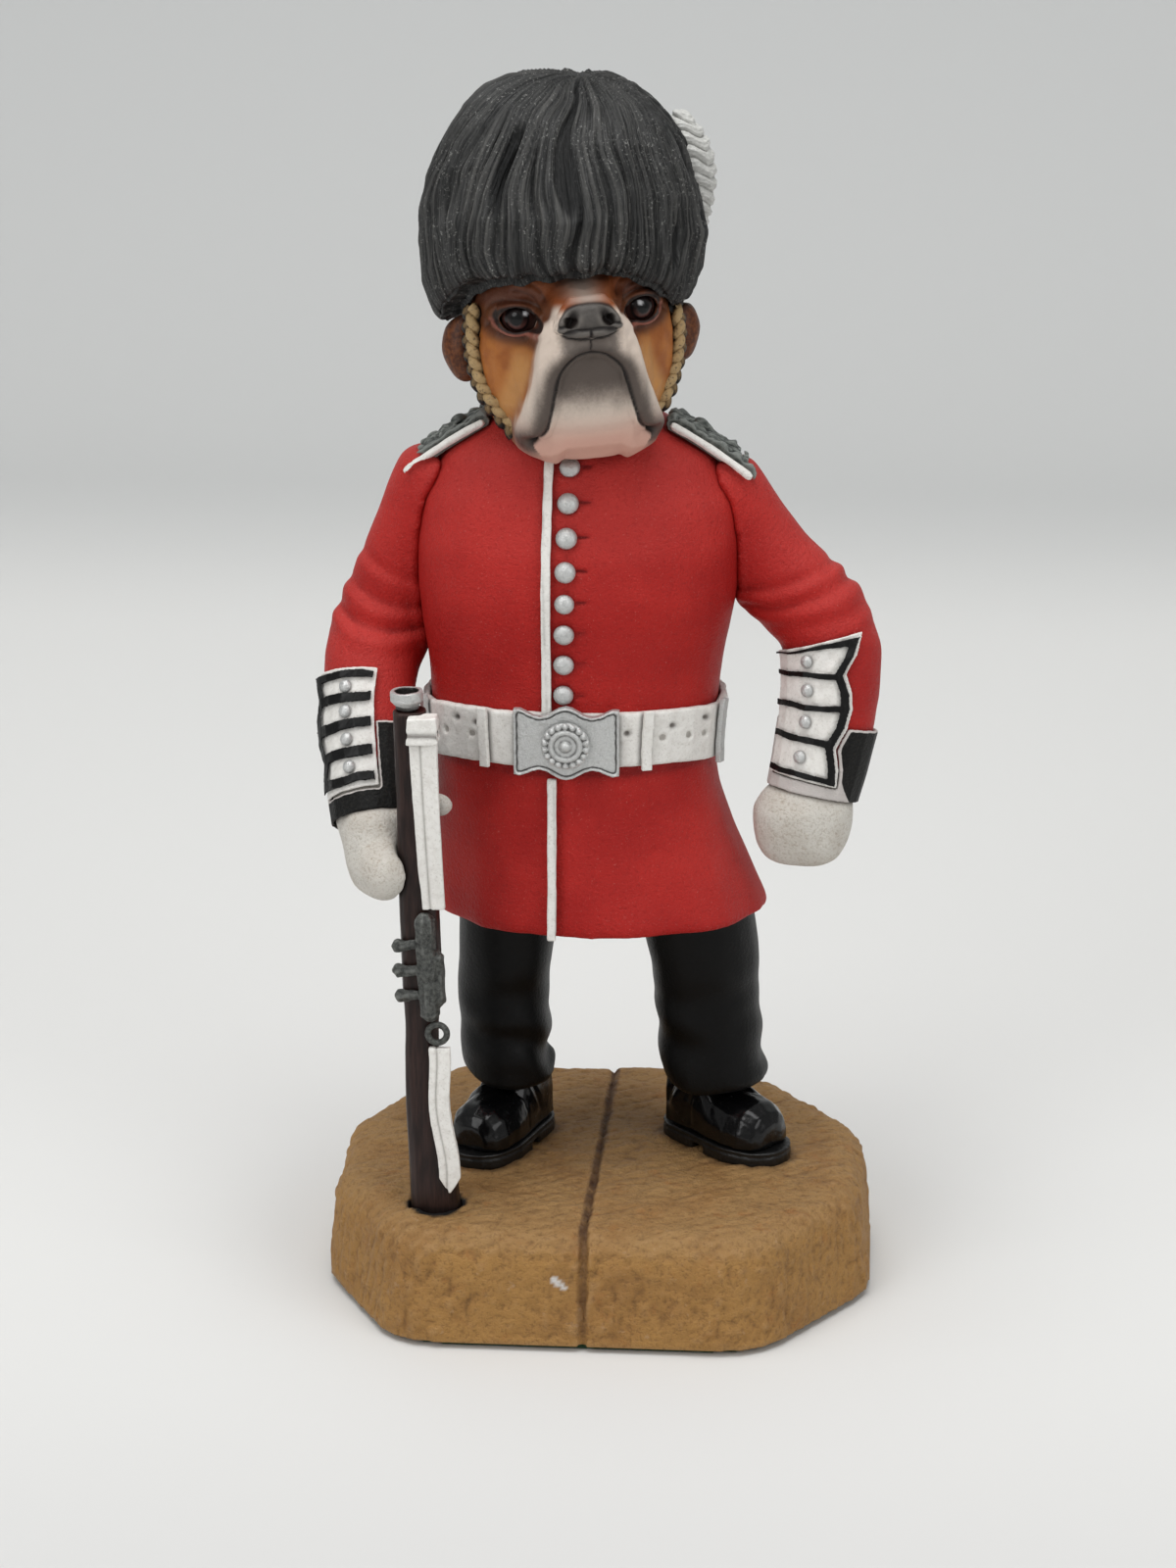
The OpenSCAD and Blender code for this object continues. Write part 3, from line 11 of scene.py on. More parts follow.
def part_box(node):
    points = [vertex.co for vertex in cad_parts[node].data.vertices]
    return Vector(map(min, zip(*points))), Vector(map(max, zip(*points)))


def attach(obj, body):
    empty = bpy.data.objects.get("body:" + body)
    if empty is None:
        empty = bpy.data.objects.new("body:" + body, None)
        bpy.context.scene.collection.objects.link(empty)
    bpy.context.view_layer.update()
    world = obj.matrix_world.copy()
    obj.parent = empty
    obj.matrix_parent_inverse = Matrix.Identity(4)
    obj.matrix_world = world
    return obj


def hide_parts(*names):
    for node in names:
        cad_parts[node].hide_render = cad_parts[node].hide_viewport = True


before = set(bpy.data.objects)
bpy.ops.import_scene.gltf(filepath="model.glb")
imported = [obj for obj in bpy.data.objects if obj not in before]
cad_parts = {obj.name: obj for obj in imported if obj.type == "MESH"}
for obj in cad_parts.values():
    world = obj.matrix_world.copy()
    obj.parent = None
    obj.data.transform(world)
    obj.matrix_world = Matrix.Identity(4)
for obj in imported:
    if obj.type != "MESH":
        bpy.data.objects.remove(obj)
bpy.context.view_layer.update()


# ---------------------------------------------------------------- studio
# The figurine stands on white paper that curves up behind it, under broad soft lamps.
# The camera has the height, distance and lens of the photograph.
camera_place, camera_tilt, camera_turn = (0.03139, -0.44890, 0.20832), 72.08, 4.26
film_high, lens_long = 36, 88.13
camera = bpy.data.objects.new("camera", bpy.data.cameras.new("camera"))
camera.location = camera_place
camera.rotation_euler = (math.radians(camera_tilt), 0, math.radians(camera_turn))
camera.data.sensor_fit = "VERTICAL"
camera.data.sensor_height = film_high
camera.data.lens = lens_long
bpy.context.collection.objects.link(camera)
bpy.context.scene.camera = camera
bpy.context.scene.view_settings.view_transform = "Standard"


MM = 0.001


def colour(red, green, blue):
    """A paint colour given on the screen's 0 to 255 scale, as the shader's linear light."""
    parts = [c / 255 for c in (red, green, blue)]
    return [c / 12.92 if c <= 0.04045 else ((c + 0.055) / 1.055) ** 2.4 for c in parts] + [1]


class Wire:
    """One value running between a finish's nodes; arithmetic on wires adds Math nodes."""

    def __init__(self, finish, socket):
        self.finish, self.socket = finish, socket

    def math(self, operation, first, second):
        return self.finish.add("ShaderNodeMath", {"operation": operation}, {0: first, 1: second})

    def __add__(self, other):
        return self.math("ADD", self, other)

    def __sub__(self, other):
        return self.math("SUBTRACT", self, other)

    def __rsub__(self, other):
        return self.math("SUBTRACT", other, self)

    def __mul__(self, other):
        return self.math("MULTIPLY", self, other)

    __radd__, __rmul__ = __add__, __mul__

    def step(self, low, high):
        """0 below low, 1 above high, smooth between."""
        return self.finish.add(
            "ShaderNodeMapRange",
            {"interpolation_type": "SMOOTHSTEP"},
            {"Value": self, "From Min": low, "From Max": high},
        )


class Finish:
    """A painted finish: one shader, and the colours that are laid over its ground."""

    def __init__(self, name, ground, shine=0.5, **constants):
        self.material = bpy.data.materials.new(name)
        self.material.use_nodes = True
        self.tree, self.tone = self.material.node_tree, ground
        self.shader = self.tree.nodes["Principled BSDF"]
        constants["Specular_IOR_Level"] = shine
        for socket, value in constants.items():
            self.shader.inputs[socket.replace("_", " ")].default_value = value

    def add(self, kind, settings, sockets, out=0):
        node = self.tree.nodes.new(kind)
        for key, value in settings.items():
            setattr(node, key, value)
        self.feed(node, sockets)
        return Wire(self, node.outputs[out])

    def feed(self, node, sockets):
        for key, value in sockets.items():
            if isinstance(value, Wire):
                self.tree.links.new(value.socket, node.inputs[key])
            else:
                node.inputs[key].default_value = value

    def place(self, stretch=(1, 1, 1)):
        """The surface's own place in millimetres, stretched to draw a pattern out."""
        spot = self.add("ShaderNodeTexCoord", {}, {}, "Object")
        scale = [1 / (MM * s) for s in stretch]
        return self.add("ShaderNodeVectorMath", {"operation": "MULTIPLY"}, {0: spot, 1: scale})

    def mottle(self, size, detail=2, rough=0.5, stretch=(1, 1, 1), on=None):
        """Cloudy noise, 0 to 1, with blots about size millimetres across."""
        where = self.place(stretch) if on is None else on
        return self.add(
            "ShaderNodeTexNoise",
            {},
            {"Vector": where, "Scale": 1 / size, "Detail": detail, "Roughness": rough},
        )

    def marked(self, name):
        """A value that the piece's mesh carries."""
        return self.add("ShaderNodeAttribute", {"attribute_name": name}, {}, "Fac")

    def ragged(self, name, noise, by):
        """A value that the mesh carries, its edge broken up by a mottle."""
        return self.marked(name) + (noise - 0.5) * by

    # A colour laid on the ridges is a painted highlight; one laid in the hollows is painted shade.
    def ridges(self, low, high):
        return self.marked("relief").step(low, high)

    def hollows(self, low, high):
        return (1 - self.marked("relief")).step(low, high)

    def over(self, amount, under, top):
        """The top colour laid over the under one by that amount."""
        under, top = (c if isinstance(c, Wire) else colour(*c) for c in (under, top))
        return self.add("ShaderNodeMix", {"data_type": "RGBA"}, {0: amount, 6: under, 7: top}, 2)

    def lay(self, top, amount, share=None):
        """Lays one more colour over the finish, where a mottle or a carried value says."""
        amount = self.marked(amount) if isinstance(amount, str) else amount
        self.tone = self.over(amount * share if share else amount, self.tone, top)

    def coat(self, roughness, height=None, depth=0.1):
        """Feeds the shader: colour, roughness, and a bump that is depth millimetres high."""
        self.feed(self.shader, {"Base Color": self.tone, "Roughness": roughness})
        if height is not None:
            bump = self.add("ShaderNodeBump", {}, {"Height": height, "Distance": depth * MM})
            self.feed(self.shader, {"Normal": bump})
        return self.material


def placed(name, shape):
    """A smooth piece made of a finished shape, set in the scene."""
    mesh = bpy.data.meshes.new(name)
    shape.to_mesh(mesh)
    shape.free()
    mesh.shade_smooth()
    piece = bpy.data.objects.new(name, mesh)
    bpy.context.collection.objects.link(piece)
    return piece


paper_wide, floor_reach, wall_back, wall_top, sweep = 3, 1.4, 0.62, 1.2, 0.2
paper = bmesh.new()
bmesh.ops.create_grid(paper, x_segments=1, y_segments=1, size=0.5)
for vert in paper.verts:
    vert.co = (paper_wide * vert.co.x, wall_back if vert.co.y > 0 else -floor_reach, 0)
paper.edges.ensure_lookup_table()
back_edge = [e for e in paper.edges if all(v.co.y > 0 for v in e.verts)]
risen = bmesh.ops.extrude_edge_only(paper, edges=back_edge)["geom"]
for vert in [v for v in risen if isinstance(v, bmesh.types.BMVert)]:
    vert.co.z = wall_top
bmesh.ops.bevel(
    paper, geom=back_edge, offset=sweep, affect="EDGES", segments=16, profile=0.5, material=-1
)
bmesh.ops.recalc_face_normals(paper, faces=paper.faces)
paper_sheet = placed("paper", paper)
paper_finish = Finish("white_paper", (222, 222, 220), shine=0.1)
spot = paper_finish.add("ShaderNodeTexCoord", {}, {}, "Object")
back, up = (paper_finish.add("ShaderNodeSeparateXYZ", {}, {0: spot}, axis) for axis in (1, 2))
behind = back + up * 0.4
# Painted shade: the paper darkens towards the front, the back and up the wall, away from the lamps.
paper_finish.lay((204, 204, 203), (0 - back).step(0, 0.16))
paper_finish.lay((203, 204, 203), behind.step(0.28, 0.42))
paper_finish.lay((189, 191, 191), behind.step(0.45, 0.9))
paper_sheet.data.materials.append(paper_finish.coat(0.9))


def lamp(name, place, aim, size, power):
    """A round soft lamp that shines at a point."""
    light = bpy.data.lights.new(name, "AREA")
    light.shape, light.size, light.energy = "DISK", size, power
    stand = bpy.data.objects.new(name, light)
    stand.location = place
    stand.rotation_euler = (Vector(aim) - Vector(place)).to_track_quat("-Z", "Y").to_euler()
    bpy.context.collection.objects.link(stand)


lamp("overhead", (-0.05, -0.12, 0.95), (0, 0, 0.05), 0.8, 6.4)
lamp("front_left", (-0.55, -0.75, 0.55), (0, 0, 0.08), 0.6, 2.6)
lamp("front_right", (0.65, -0.6, 0.5), (0, 0, 0.08), 0.6, 1.9)
room_light = 0.34
world = bpy.data.worlds.new("room")
world.use_nodes = True
world.node_tree.nodes["Background"].inputs["Color"].default_value = (1, 1, 1, 1)
world.node_tree.nodes["Background"].inputs["Strength"].default_value = room_light
bpy.context.scene.world = world


# ---------------------------------------------------------------- plinth
# An octagonal slab cast with a coarse sandstone skin, a groove across it like a joint
# between paving slabs, painted ochre, with a black ring where the rifle butt is let in.
same_point = 1e-6


def points_of(mesh):
    """A mesh's points, in millimetres."""
    flat = np.empty(len(mesh.vertices) * 3)
    mesh.vertices.foreach_get("co", flat)
    return flat.reshape(-1, 3) / MM


def carry(mesh, name, values):
    """Gives a mesh a value at each point for its finish to read."""
    layer = mesh.attributes.new(name, "FLOAT", "POINT")
    layer.data.foreach_set("value", np.asarray(values, np.float32))


class Casting:
    """A piece made from a copy of CAD solids, remade in one even skin that can be modelled.

    Its points are kept in millimetres while it is worked on. Solids that are swelled by more
    than half the gap between them come out as one skin.
    """

    def __init__(self, name, *nodes, grain, soften, swell=0, shift=None):
        shape = bmesh.new()
        for node in nodes:
            before = len(shape.verts)
            shape.from_mesh(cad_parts[node].data)
            shape.verts.ensure_lookup_table()
            if shift and node in shift:
                moved = shape.verts[before:]
                bmesh.ops.translate(shape, vec=Vector(shift[node]) * MM, verts=moved)
        bmesh.ops.remove_doubles(shape, verts=shape.verts, dist=same_point)
        shape.normal_update()
        for vert in shape.verts:
            vert.co += vert.normal * swell * MM
        self.piece = placed(name, shape)
        skin = self.piece.modifiers.new("skin", "REMESH")
        skin.mode, skin.voxel_size = "VOXEL", grain * MM
        ready = self.piece.evaluated_get(bpy.context.evaluated_depsgraph_get())
        self.mesh = bpy.data.meshes.new_from_object(ready)
        self.piece.modifiers.clear()
        self.piece.data = self.mesh
        self.mesh.materials.clear()
        self.mesh.shade_smooth()
        ends = np.empty(len(self.mesh.edges) * 2, np.int32)
        self.mesh.edges.foreach_get("vertices", ends)
        self.ends, self.co = ends.reshape(-1, 2), points_of(self.mesh)
        self.shared = np.maximum(np.bincount(ends, minlength=len(self.co)), 1)
        self.smooth(soften)
        self.push(-swell)
        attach(self.piece, "root")
        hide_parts(*nodes)

    def spread(self, values, times=1):
        """Each value replaced by the mean of its neighbours, so many times over."""
        a, b = self.ends.T
        for _ in range(times):
            sums = np.bincount(a, values[b], len(self.co))
            values = (sums + np.bincount(b, values[a], len(self.co))) / self.shared
        return values

    def mean(self, times=1):
        """The skin with each point moved to the middle of its neighbours."""
        return np.stack([self.spread(axis, times) for axis in self.co.T], 1)

    def smooth(self, times):
        """Takes facets out without shrinking the piece."""
        for turn in range(2 * times):
            self.co += (self.mean() - self.co) * (0.5 if turn % 2 == 0 else -0.52)

    def blunt(self, times, swell):
        """Rounds off every edge and fold, and swells the skin by what that takes away."""
        self.co = self.mean(times)
        self.push(swell)

    def normals(self):
        self.mesh.vertices.foreach_set("co", (self.co * MM).ravel())
        self.mesh.update()
        flat = np.empty(len(self.co) * 3, np.float32)
        self.mesh.vertex_normals.foreach_get("vector", flat)
        return flat.reshape(-1, 3).astype(float)

    def push(self, height):
        """Moves the skin out by that many millimetres, all over or at each point."""
        self.co += self.normals() * np.reshape(height, (-1, 1))

    def near(self, *nodes, reach=2.5):
        """How far each point is from the nearest of those CAD nodes, up to reach."""
        gap = np.full(len(self.co), reach)
        for node in nodes:
            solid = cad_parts[node].data
            corners = [v.co for v in solid.vertices]
            faces = BVHTree.FromPolygons(corners, [p.vertices for p in solid.polygons])
            low, high = (np.array(corner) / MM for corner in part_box(node))
            close = np.all((self.co > low - reach) & (self.co < high + reach), axis=1)
            for i in np.flatnonzero(close):
                found = faces.find_nearest(Vector(self.co[i]) * MM, reach * MM)[3]
                if found is not None:
                    gap[i] = min(gap[i], found / MM)
        return gap

    def rough(self, *sizes):
        """Roughness made of lumps, each kind given by its height and size."""
        return sum(high * lumps(self.co, size, i) for i, (high, size) in enumerate(sizes, 1))

    def mark(self, name, values):
        carry(self.mesh, name, values)

    def shade(self, width, *nodes, also=0):
        """Marks the dark line where the piece meets those CAD nodes, and what else is dark."""
        self.mark("shade", np.maximum(hump(self.near(*nodes), width), also))

    def paint(self, material, reach=6, full=0.12):
        """Marks ridges (towards 1) and hollows (towards 0), and puts the finish on."""
        sunk = ((self.mean(reach) - self.co) * self.normals()).sum(1)
        self.mark("relief", np.clip(0.5 - sunk / (2 * full), 0, 1))
        self.mesh.materials.append(material)


def lumps(co, size, seed=0):
    """A smooth random field from -1 to 1 with lumps about size millimetres across."""
    seed_step, shuffle, scatter = 17.31, np.array((127.1, 311.7, 74.7)), 43758.5453
    spot = co / size + seed_step * (seed + 1)
    cell = np.floor(spot)
    t = spot - cell
    t = t * t * (3 - 2 * t)
    field = np.zeros(len(co))
    for corner in itertools.product((0, 1), repeat=3):
        chance = np.modf(np.sin((cell + corner) @ shuffle) * scatter)[0]
        field += np.prod(np.where(corner, t, 1 - t), axis=1) * chance
    return field


def rise(values, low, high):
    """0 below low, 1 above high, smooth between."""
    t = np.clip((values - low) / (high - low), 0, 1)
    return t * t * (3 - 2 * t)


def band(values, low, full, fade, high):
    """0 up to low and from high on, 1 between full and fade."""
    return rise(values, low, full) * (1 - rise(values, fade, high))


def hump(values, width):
    """1 where the values are 0, falling away to both sides over that width."""
    return np.exp(-((values / width) ** 2))


def blot(u, v, wide, high):
    """1 at the middle of an oval blot, falling away all round."""
    return np.exp(-((u / wide) ** 2 + (v / high) ** 2))


def most(*fields):
    """The strongest of several fields at each point."""
    return np.maximum.reduce(fields)


slab_top, groove_x, groove_half = 14.5, -0.5, 0.45
butt_x, butt_y, butt_ring = -19.35, -19.0, 3.7
chip_x, chip_z, chip_slant = -3.9, 9.2, 0.75
plinth = Casting("plinth", "base", grain=0.4, soften=6)
x, y, z = plinth.co.T
on_top = rise(z, slab_top - 3.2, slab_top - 0.4)
under = rise(z, 1.0, 2.2)
hewn = plinth.co * np.stack([np.ones_like(x), np.ones_like(x), 0.95 + 0.05 * on_top], 1)
scales = np.abs(lumps(hewn + 1.2 * lumps(hewn, 3.5, 8)[:, None], 1.5, 3))
cracks = hump(lumps(hewn + 0.9 * lumps(hewn, 2.2, 9)[:, None], 3.4, 5), 0.10)
plinth.push(under * (
    plinth.rough((0.26, 8), (0.20, 3.2)) + 0.17 * lumps(hewn, 0.9, 4)
    + (0.24 - 0.06 * on_top) * (scales - 0.3) - 0.08 * cracks
))
wander = groove_x + 0.16 * lumps(plinth.co, 4, 6) + 0.008 * (y + 6)
joint = rise(groove_half + 0.3 - np.abs(x - wander), 0, 0.4) * rise(z, 1.6, 2.6)
joint *= (0.55 + 0.45 * on_top) * (0.75 + 0.25 * lumps(plinth.co, 2, 7))
plinth.mark("joint", joint)
plinth.mark("top", on_top)
plinth.mark("crack", cracks * under)
off_ring = butt_ring + 0.35 * lumps(plinth.co, 1.2, 5) - np.hypot(x - butt_x, y - butt_y)
plinth.mark("ring", rise(off_ring, -0.15, 0.25) * rise(z, slab_top - 1.2, slab_top - 0.8))
plinth.shade(0.8, "right_sole", "left_sole")
off_chip = np.hypot((x - chip_x) / 1.4, (z - chip_z + chip_slant * (x - chip_x)) / 0.5)
plinth.mark("chip", rise(0.9 + 0.9 * lumps(plinth.co, 1.3, 6) - off_chip, 0.1, 0.5) * (y < 0))

sandstone = Finish("ochre_sandstone", (162, 121, 66), shine=0.32)
sand_blots = sandstone.mottle(8, 4, 0.6)
sand_grain = sandstone.mottle(0.55, 4, 0.65)
sand_fleck = sandstone.mottle(1.3, 3, 0.6)
sand_rust = sandstone.mottle(3.2, 3, 0.65)
sandstone.lay((158, 123, 77), "top")
sandstone.lay((140, 99, 53), sand_blots.step(0.42, 0.68), 0.5)
sandstone.lay((150, 98, 48), sand_rust.step(0.56, 0.74), 0.5)
# Painted highlight on the ridges and painted shade in the hollows of the stone.
sandstone.lay((166, 130, 86), sandstone.ridges(0.55, 0.95), 0.5)
sandstone.lay((92, 62, 34), sandstone.hollows(0.5, 0.9), 0.4)
sandstone.lay((96, 66, 37), (1 - sand_grain).step(0.5, 0.66), 0.4)
sandstone.lay((176, 146, 116), sand_fleck.step(0.64, 0.76), 0.4)
sandstone.lay((84, 55, 32), sandstone.marked("crack") * (1 - sand_fleck).step(0.4, 0.6), 0.25)
sandstone.lay((64, 40, 30), "joint", 0.9)
sandstone.lay((58, 42, 28), "shade", 0.6)
sandstone.lay((20, 18, 17), "ring")
sandstone.lay((205, 202, 198), "chip")
sand_paint = sandstone.coat(sand_fleck * 0.25 + 0.5, sand_grain + sand_fleck * 0.8, 0.34)
plinth.paint(sand_paint, 5, 0.2)


# ---------------------------------------------------------------- felt
# A sheet of green felt glued to the underside and trimmed just inside the slab's edge,
# so that only its cut rim shows as a thin green line.
felt = Casting("felt_sheet", "felt_pad", grain=0.4, soften=1)
rim = 1 - rise(np.abs(felt.normals()[:, 2]), 0.3, 0.8)
felt.push(0.12 * rim * lumps(felt.co, 0.8, 1))
felt_green = Finish("green_felt", (24, 48, 32), shine=0.1, Sheen_Weight=0.3)
fibre = felt_green.mottle(0.35, 3, 0.7)
felt_green.lay((54, 84, 58), fibre)
felt.paint(felt_green.coat(0.95, fibre, 0.2))


# ---------------------------------------------------------------- boots
# Cast ammunition boots, lacquered to a high black gloss, on soles with a welt and a
# separate heel that are painted the same black but left duller.
boot_lacquer = Finish("boot_lacquer", (7, 7, 8), shine=0.2, Coat_Weight=0.3, Coat_Roughness=0.08)
boot_dust = boot_lacquer.mottle(0.6, 3, 0.7)
boot_lacquer.lay((44, 44, 43), boot_dust.step(0.6, 0.8), 0.35)
# Near-black along the toecap seam, and painted shade where the upper meets the sole.
boot_lacquer.lay((2, 2, 2), "seam", 0.8)
boot_black = boot_lacquer.coat(boot_dust * 0.2 + 0.14, boot_lacquer.mottle(1.8, 2), 0.14)
sole_paint = Finish("sole_black", (10, 10, 10), shine=0.45)
sole_dust = sole_paint.mottle(0.6, 3, 0.7)
sole_paint.lay((46, 42, 38), sole_dust.step(0.55, 0.8), 0.4)
sole_black = sole_paint.coat(sole_dust * 0.3 + 0.22, sole_dust, 0.1)
cap_back, roll_back, crease_back, instep_high, welt_high = 6.2, 8.2, 9.2, 6, 1.45
for side in ("right", "left"):
    boot = Casting(side + "_boot_upper", side + "_boot", grain=0.24, soften=34)
    x, y, z = boot.co.T
    behind_toe, height = y - y.min(), z - slab_top
    cap_line = behind_toe - cap_back - 0.02 * (x - x.mean()) ** 2
    cap_seam = hump(cap_line, 0.22) * rise(height, 2.4, 3.2)
    up_instep = behind_toe + 0.35 * (height - instep_high)
    crease = hump(up_instep - crease_back, 0.5) * rise(height, 3.4, 5)
    roll = hump(up_instep - roll_back, 0.7) * rise(height, 3.4, 5)
    boot.push(boot.rough((0.09, 3.2), (0.03, 1.1))
              - 0.12 * cap_seam - 0.28 * crease + 0.25 * roll)
    # Painted shade where the upper meets the sole, and a dark line along the toecap seam.
    boot.mark("seam", most(cap_seam * 0.6, hump(boot.near(side + "_sole"), 0.35)))
    boot.paint(boot_black)
    sole = Casting(side + "_boot_sole", side + "_sole", grain=0.22, soften=8)
    upright = 1 - rise(np.abs(sole.normals()[:, 2]), 0.5, 0.8)
    welt = hump(sole.co[:, 2] - slab_top - welt_high, 0.16) * upright
    sole.push(0.06 * lumps(sole.co, 1.6, 3) - 0.2 * welt)
    sole.paint(sole_black)


# ---------------------------------------------------------------- trousers
# Cast trouser legs, painted satin black, that break in heavy folds over the boots. Their tops
# are let into the hollow skirt of the coat.
satin = Finish("trouser_satin", (4, 4, 4), shine=0.16)
nap = satin.mottle(0.4, 3, 0.7)
sheen = satin.mottle(4, 2)
satin.lay((14, 14, 14), nap.step(0.5, 0.8), 0.4)
# Painted sheen: a lighter black on the ridges of the folds.
satin.lay((26, 26, 25), satin.ridges(0.62, 1), 0.3)
trouser_black = satin.coat(nap * 0.2 + sheen * 0.12 + 0.26, nap, 0.08)
fold_span, knee_low, knee_high = (17, 19.5, 31, 40), 36, 46
for side, turn in (("right", 0.4), ("left", 2.0)):
    leg = Casting(side + "_trouser", side + "_trouser_leg", grain=0.32, soften=30)
    leg.blunt(22, 0.2)
    x, y, z = leg.co.T
    round_leg = np.arctan2(y - y.mean(), x - x.mean())
    fold_zone = band(z, *fold_span)
    sag = z + 2.3 * np.sin(round_leg + turn) + 2.2 * lumps(leg.co, 8, 2)
    folds = np.sin(sag * 1.15) * (0.6 + 0.4 * lumps(leg.co, 6, 7))
    up_leg = hump(np.sin((round_leg - turn) / 2), 0.35) * rise(z, knee_low, knee_high) * 0.25
    hem = 1 - rise(z, z.min() + 0.5, z.min() + 5)
    leg.co[:, 2] += hem * (0.7 * np.sin(2 * round_leg + turn) + 0.6 * lumps(leg.co, 5, 5) - 0.3)
    turned_in = 1 - rise(z, z.min(), z.min() + 1.6)
    folds *= fold_zone * (0.65 + 0.35 * np.cos(round_leg - turn))
    leg.push(leg.rough((0.16, 6)) + up_leg - 0.36 * folds - 0.4 * turned_in)
    leg.paint(trouser_black, 8, 0.2)


# ---------------------------------------------------------------- tunic
# The coat's body is one cast shell, sprayed scarlet: a powdery coat with pale specks, with
# painted light on what faces up and painted shade in the hollows and where pieces meet. Slits
# for the buttonholes are cut in.
def seats(node):
    """Centre, flat axis, and points about the centre of each solid in a node of small pieces."""
    shape = bmesh.new()
    shape.from_mesh(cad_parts[node].data)
    bmesh.ops.remove_doubles(shape, verts=shape.verts, dist=same_point)
    left, found = dict.fromkeys(shape.verts), []
    while left:
        queue, island = [left.popitem()[0]], []
        while queue:
            vert = queue.pop()
            island.append(vert.co / MM)
            near = [v for v in (e.other_vert(vert) for e in vert.link_edges) if v in left]
            for other in near:
                del left[other]
            queue += near
        points = np.array(island)
        middle = (points.max(0) + points.min(0)) / 2
        axis = np.linalg.svd(points - points.mean(0))[2][2]
        found.append((middle, axis, points - middle))
    shape.free()
    return found


scarlet = Finish("scarlet_paint", (164, 26, 23), shine=0.2)
speck = scarlet.mottle(0.26, 2, 0.7)
powder = scarlet.mottle(0.5, 3, 0.75)
cloud = scarlet.mottle(10, 3)
facing = scarlet.add("ShaderNodeNewGeometry", {}, {}, "Normal")
lit_from_above = scarlet.add("ShaderNodeSeparateXYZ", {}, {0: facing}, 2)
scarlet.lay((180, 36, 31), cloud.step(0.35, 0.7))
# Painted light: the scarlet is lighter on what faces up, as if lit from above.
scarlet.lay((196, 76, 70), lit_from_above.step(-0.15, 0.75), 0.35)
scarlet.lay((138, 18, 18), (1 - powder).step(0.5, 0.7), 0.35)
# Painted shade in the hollows.
scarlet.lay((112, 10, 12), scarlet.hollows(0.55, 0.95), 0.7)
scarlet.lay((96, 9, 12), "shade", 0.75)
scarlet.lay((216, 132, 124), speck.step(0.62, 0.78), 0.36)
scarlet_paint = scarlet.coat(powder * 0.25 + 0.38, powder + speck * 0.5, 0.26)

waist_high, chest_high, coat_middle = 68.5, 79, -3
tunic = Casting("tunic_body", "tunic", grain=0.42, soften=30)
tunic.blunt(14, 0.08)
x, y, z = tunic.co.T
slit = np.zeros(len(tunic.co))
for middle, *_ in seats("tunic_buttons"):
    beside, level = x - middle[0], z - middle[2]
    slit = most(slit, hump(level, 0.2) * band(beside, 1.0, 1.4, 2.3, 2.9) * (y < 0))
aside = x - coat_middle
gathers = np.cos((aside + 0.5) * 0.9 + 0.6 * lumps(tunic.co, 6, 3)) * hump(z - waist_high, 2.6)
draw = hump(z - chest_high, 3.2) * np.cos(aside * 0.55 + 0.8) * rise(np.abs(aside), 4, 9)
tunic.push(tunic.rough((0.14, 9), (0.05, 3)) - 0.3 * slit + 0.1 * gathers + 0.1 * draw)
touching = tunic.near("belt", "upper_piping", "lower_piping", "tunic_buttons",
                      "right_strap_piping", "left_strap_piping", "head", "lower_jaw", reach=1.5)
tunic.mark("shade", most(0.75 * hump(touching, 0.3), 0.8 * slit))
tunic.paint(scarlet_paint, 8, 0.2)


# ---------------------------------------------------------------- tunic edging and buttons
# White edging of the coat's front, a raised bead touched in with a brush, the lower one drawn
# up to the belt, and eight domed buttons picked out in silver.
belt_lift, edging_fade = 1.2, 5
white = Finish("white_paint", (232, 230, 225), shine=0.35)
brush = white.mottle(0.9, 3, 0.6)
pore = white.mottle(0.3, 2, 0.6)
white.lay((208, 204, 197), brush.step(0.4, 0.75), 0.55)
white.lay((166, 159, 150), (1 - pore).step(0.56, 0.7), 0.3)
# Painted shade in the hollows of the white paint.
white.lay((132, 124, 115), white.hollows(0.55, 0.95), 0.65)
white.lay((64, 54, 50), "shade", 0.85)
white_paint = white.coat(0.48, brush * 0.7 + pore * 0.5, 0.12)
for name, reach_up in (("upper_piping", 0), ("lower_piping", belt_lift)):
    edging = Casting(name + "_bead", name, grain=0.13, soften=6)
    x, y, z = edging.co.T
    edging.co[:, 2] += reach_up * rise(z, z.max() - edging_fade, z.max())
    streak = hump(x - np.median(x) + 0.25 + 0.02 * (z - 90), 0.16)
    streak *= 0.5 + 0.5 * lumps(edging.co, 1.6, 2)
    edging.push(edging.rough((0.06, 1.1)) - 0.08 * streak)
    edging.shade(0.22, "tunic", also=0.45 * streak)
    edging.paint(white_paint)

silver = Finish("silver_paint", (172, 173, 172), Metallic=0.5)
flake = silver.mottle(0.22, 2, 0.6)
tarnish = silver.mottle(0.8, 2, 0.6)
silver.lay((220, 221, 219), flake)
silver.lay((132, 130, 126), tarnish.step(0.55, 0.75), 0.3)
# Painted shade in the hollows of the silver.
silver.lay((52, 50, 48), silver.hollows(0.5, 0.9), 0.85)
silver.lay((40, 34, 32), "shade", 0.85)
silver_paint = silver.coat(flake * 0.2 + 0.28, flake + tarnish, 0.1)


shown_side, lathe_steps, lathe_join = np.array((0, -1, 0.6)), 20, 0.002


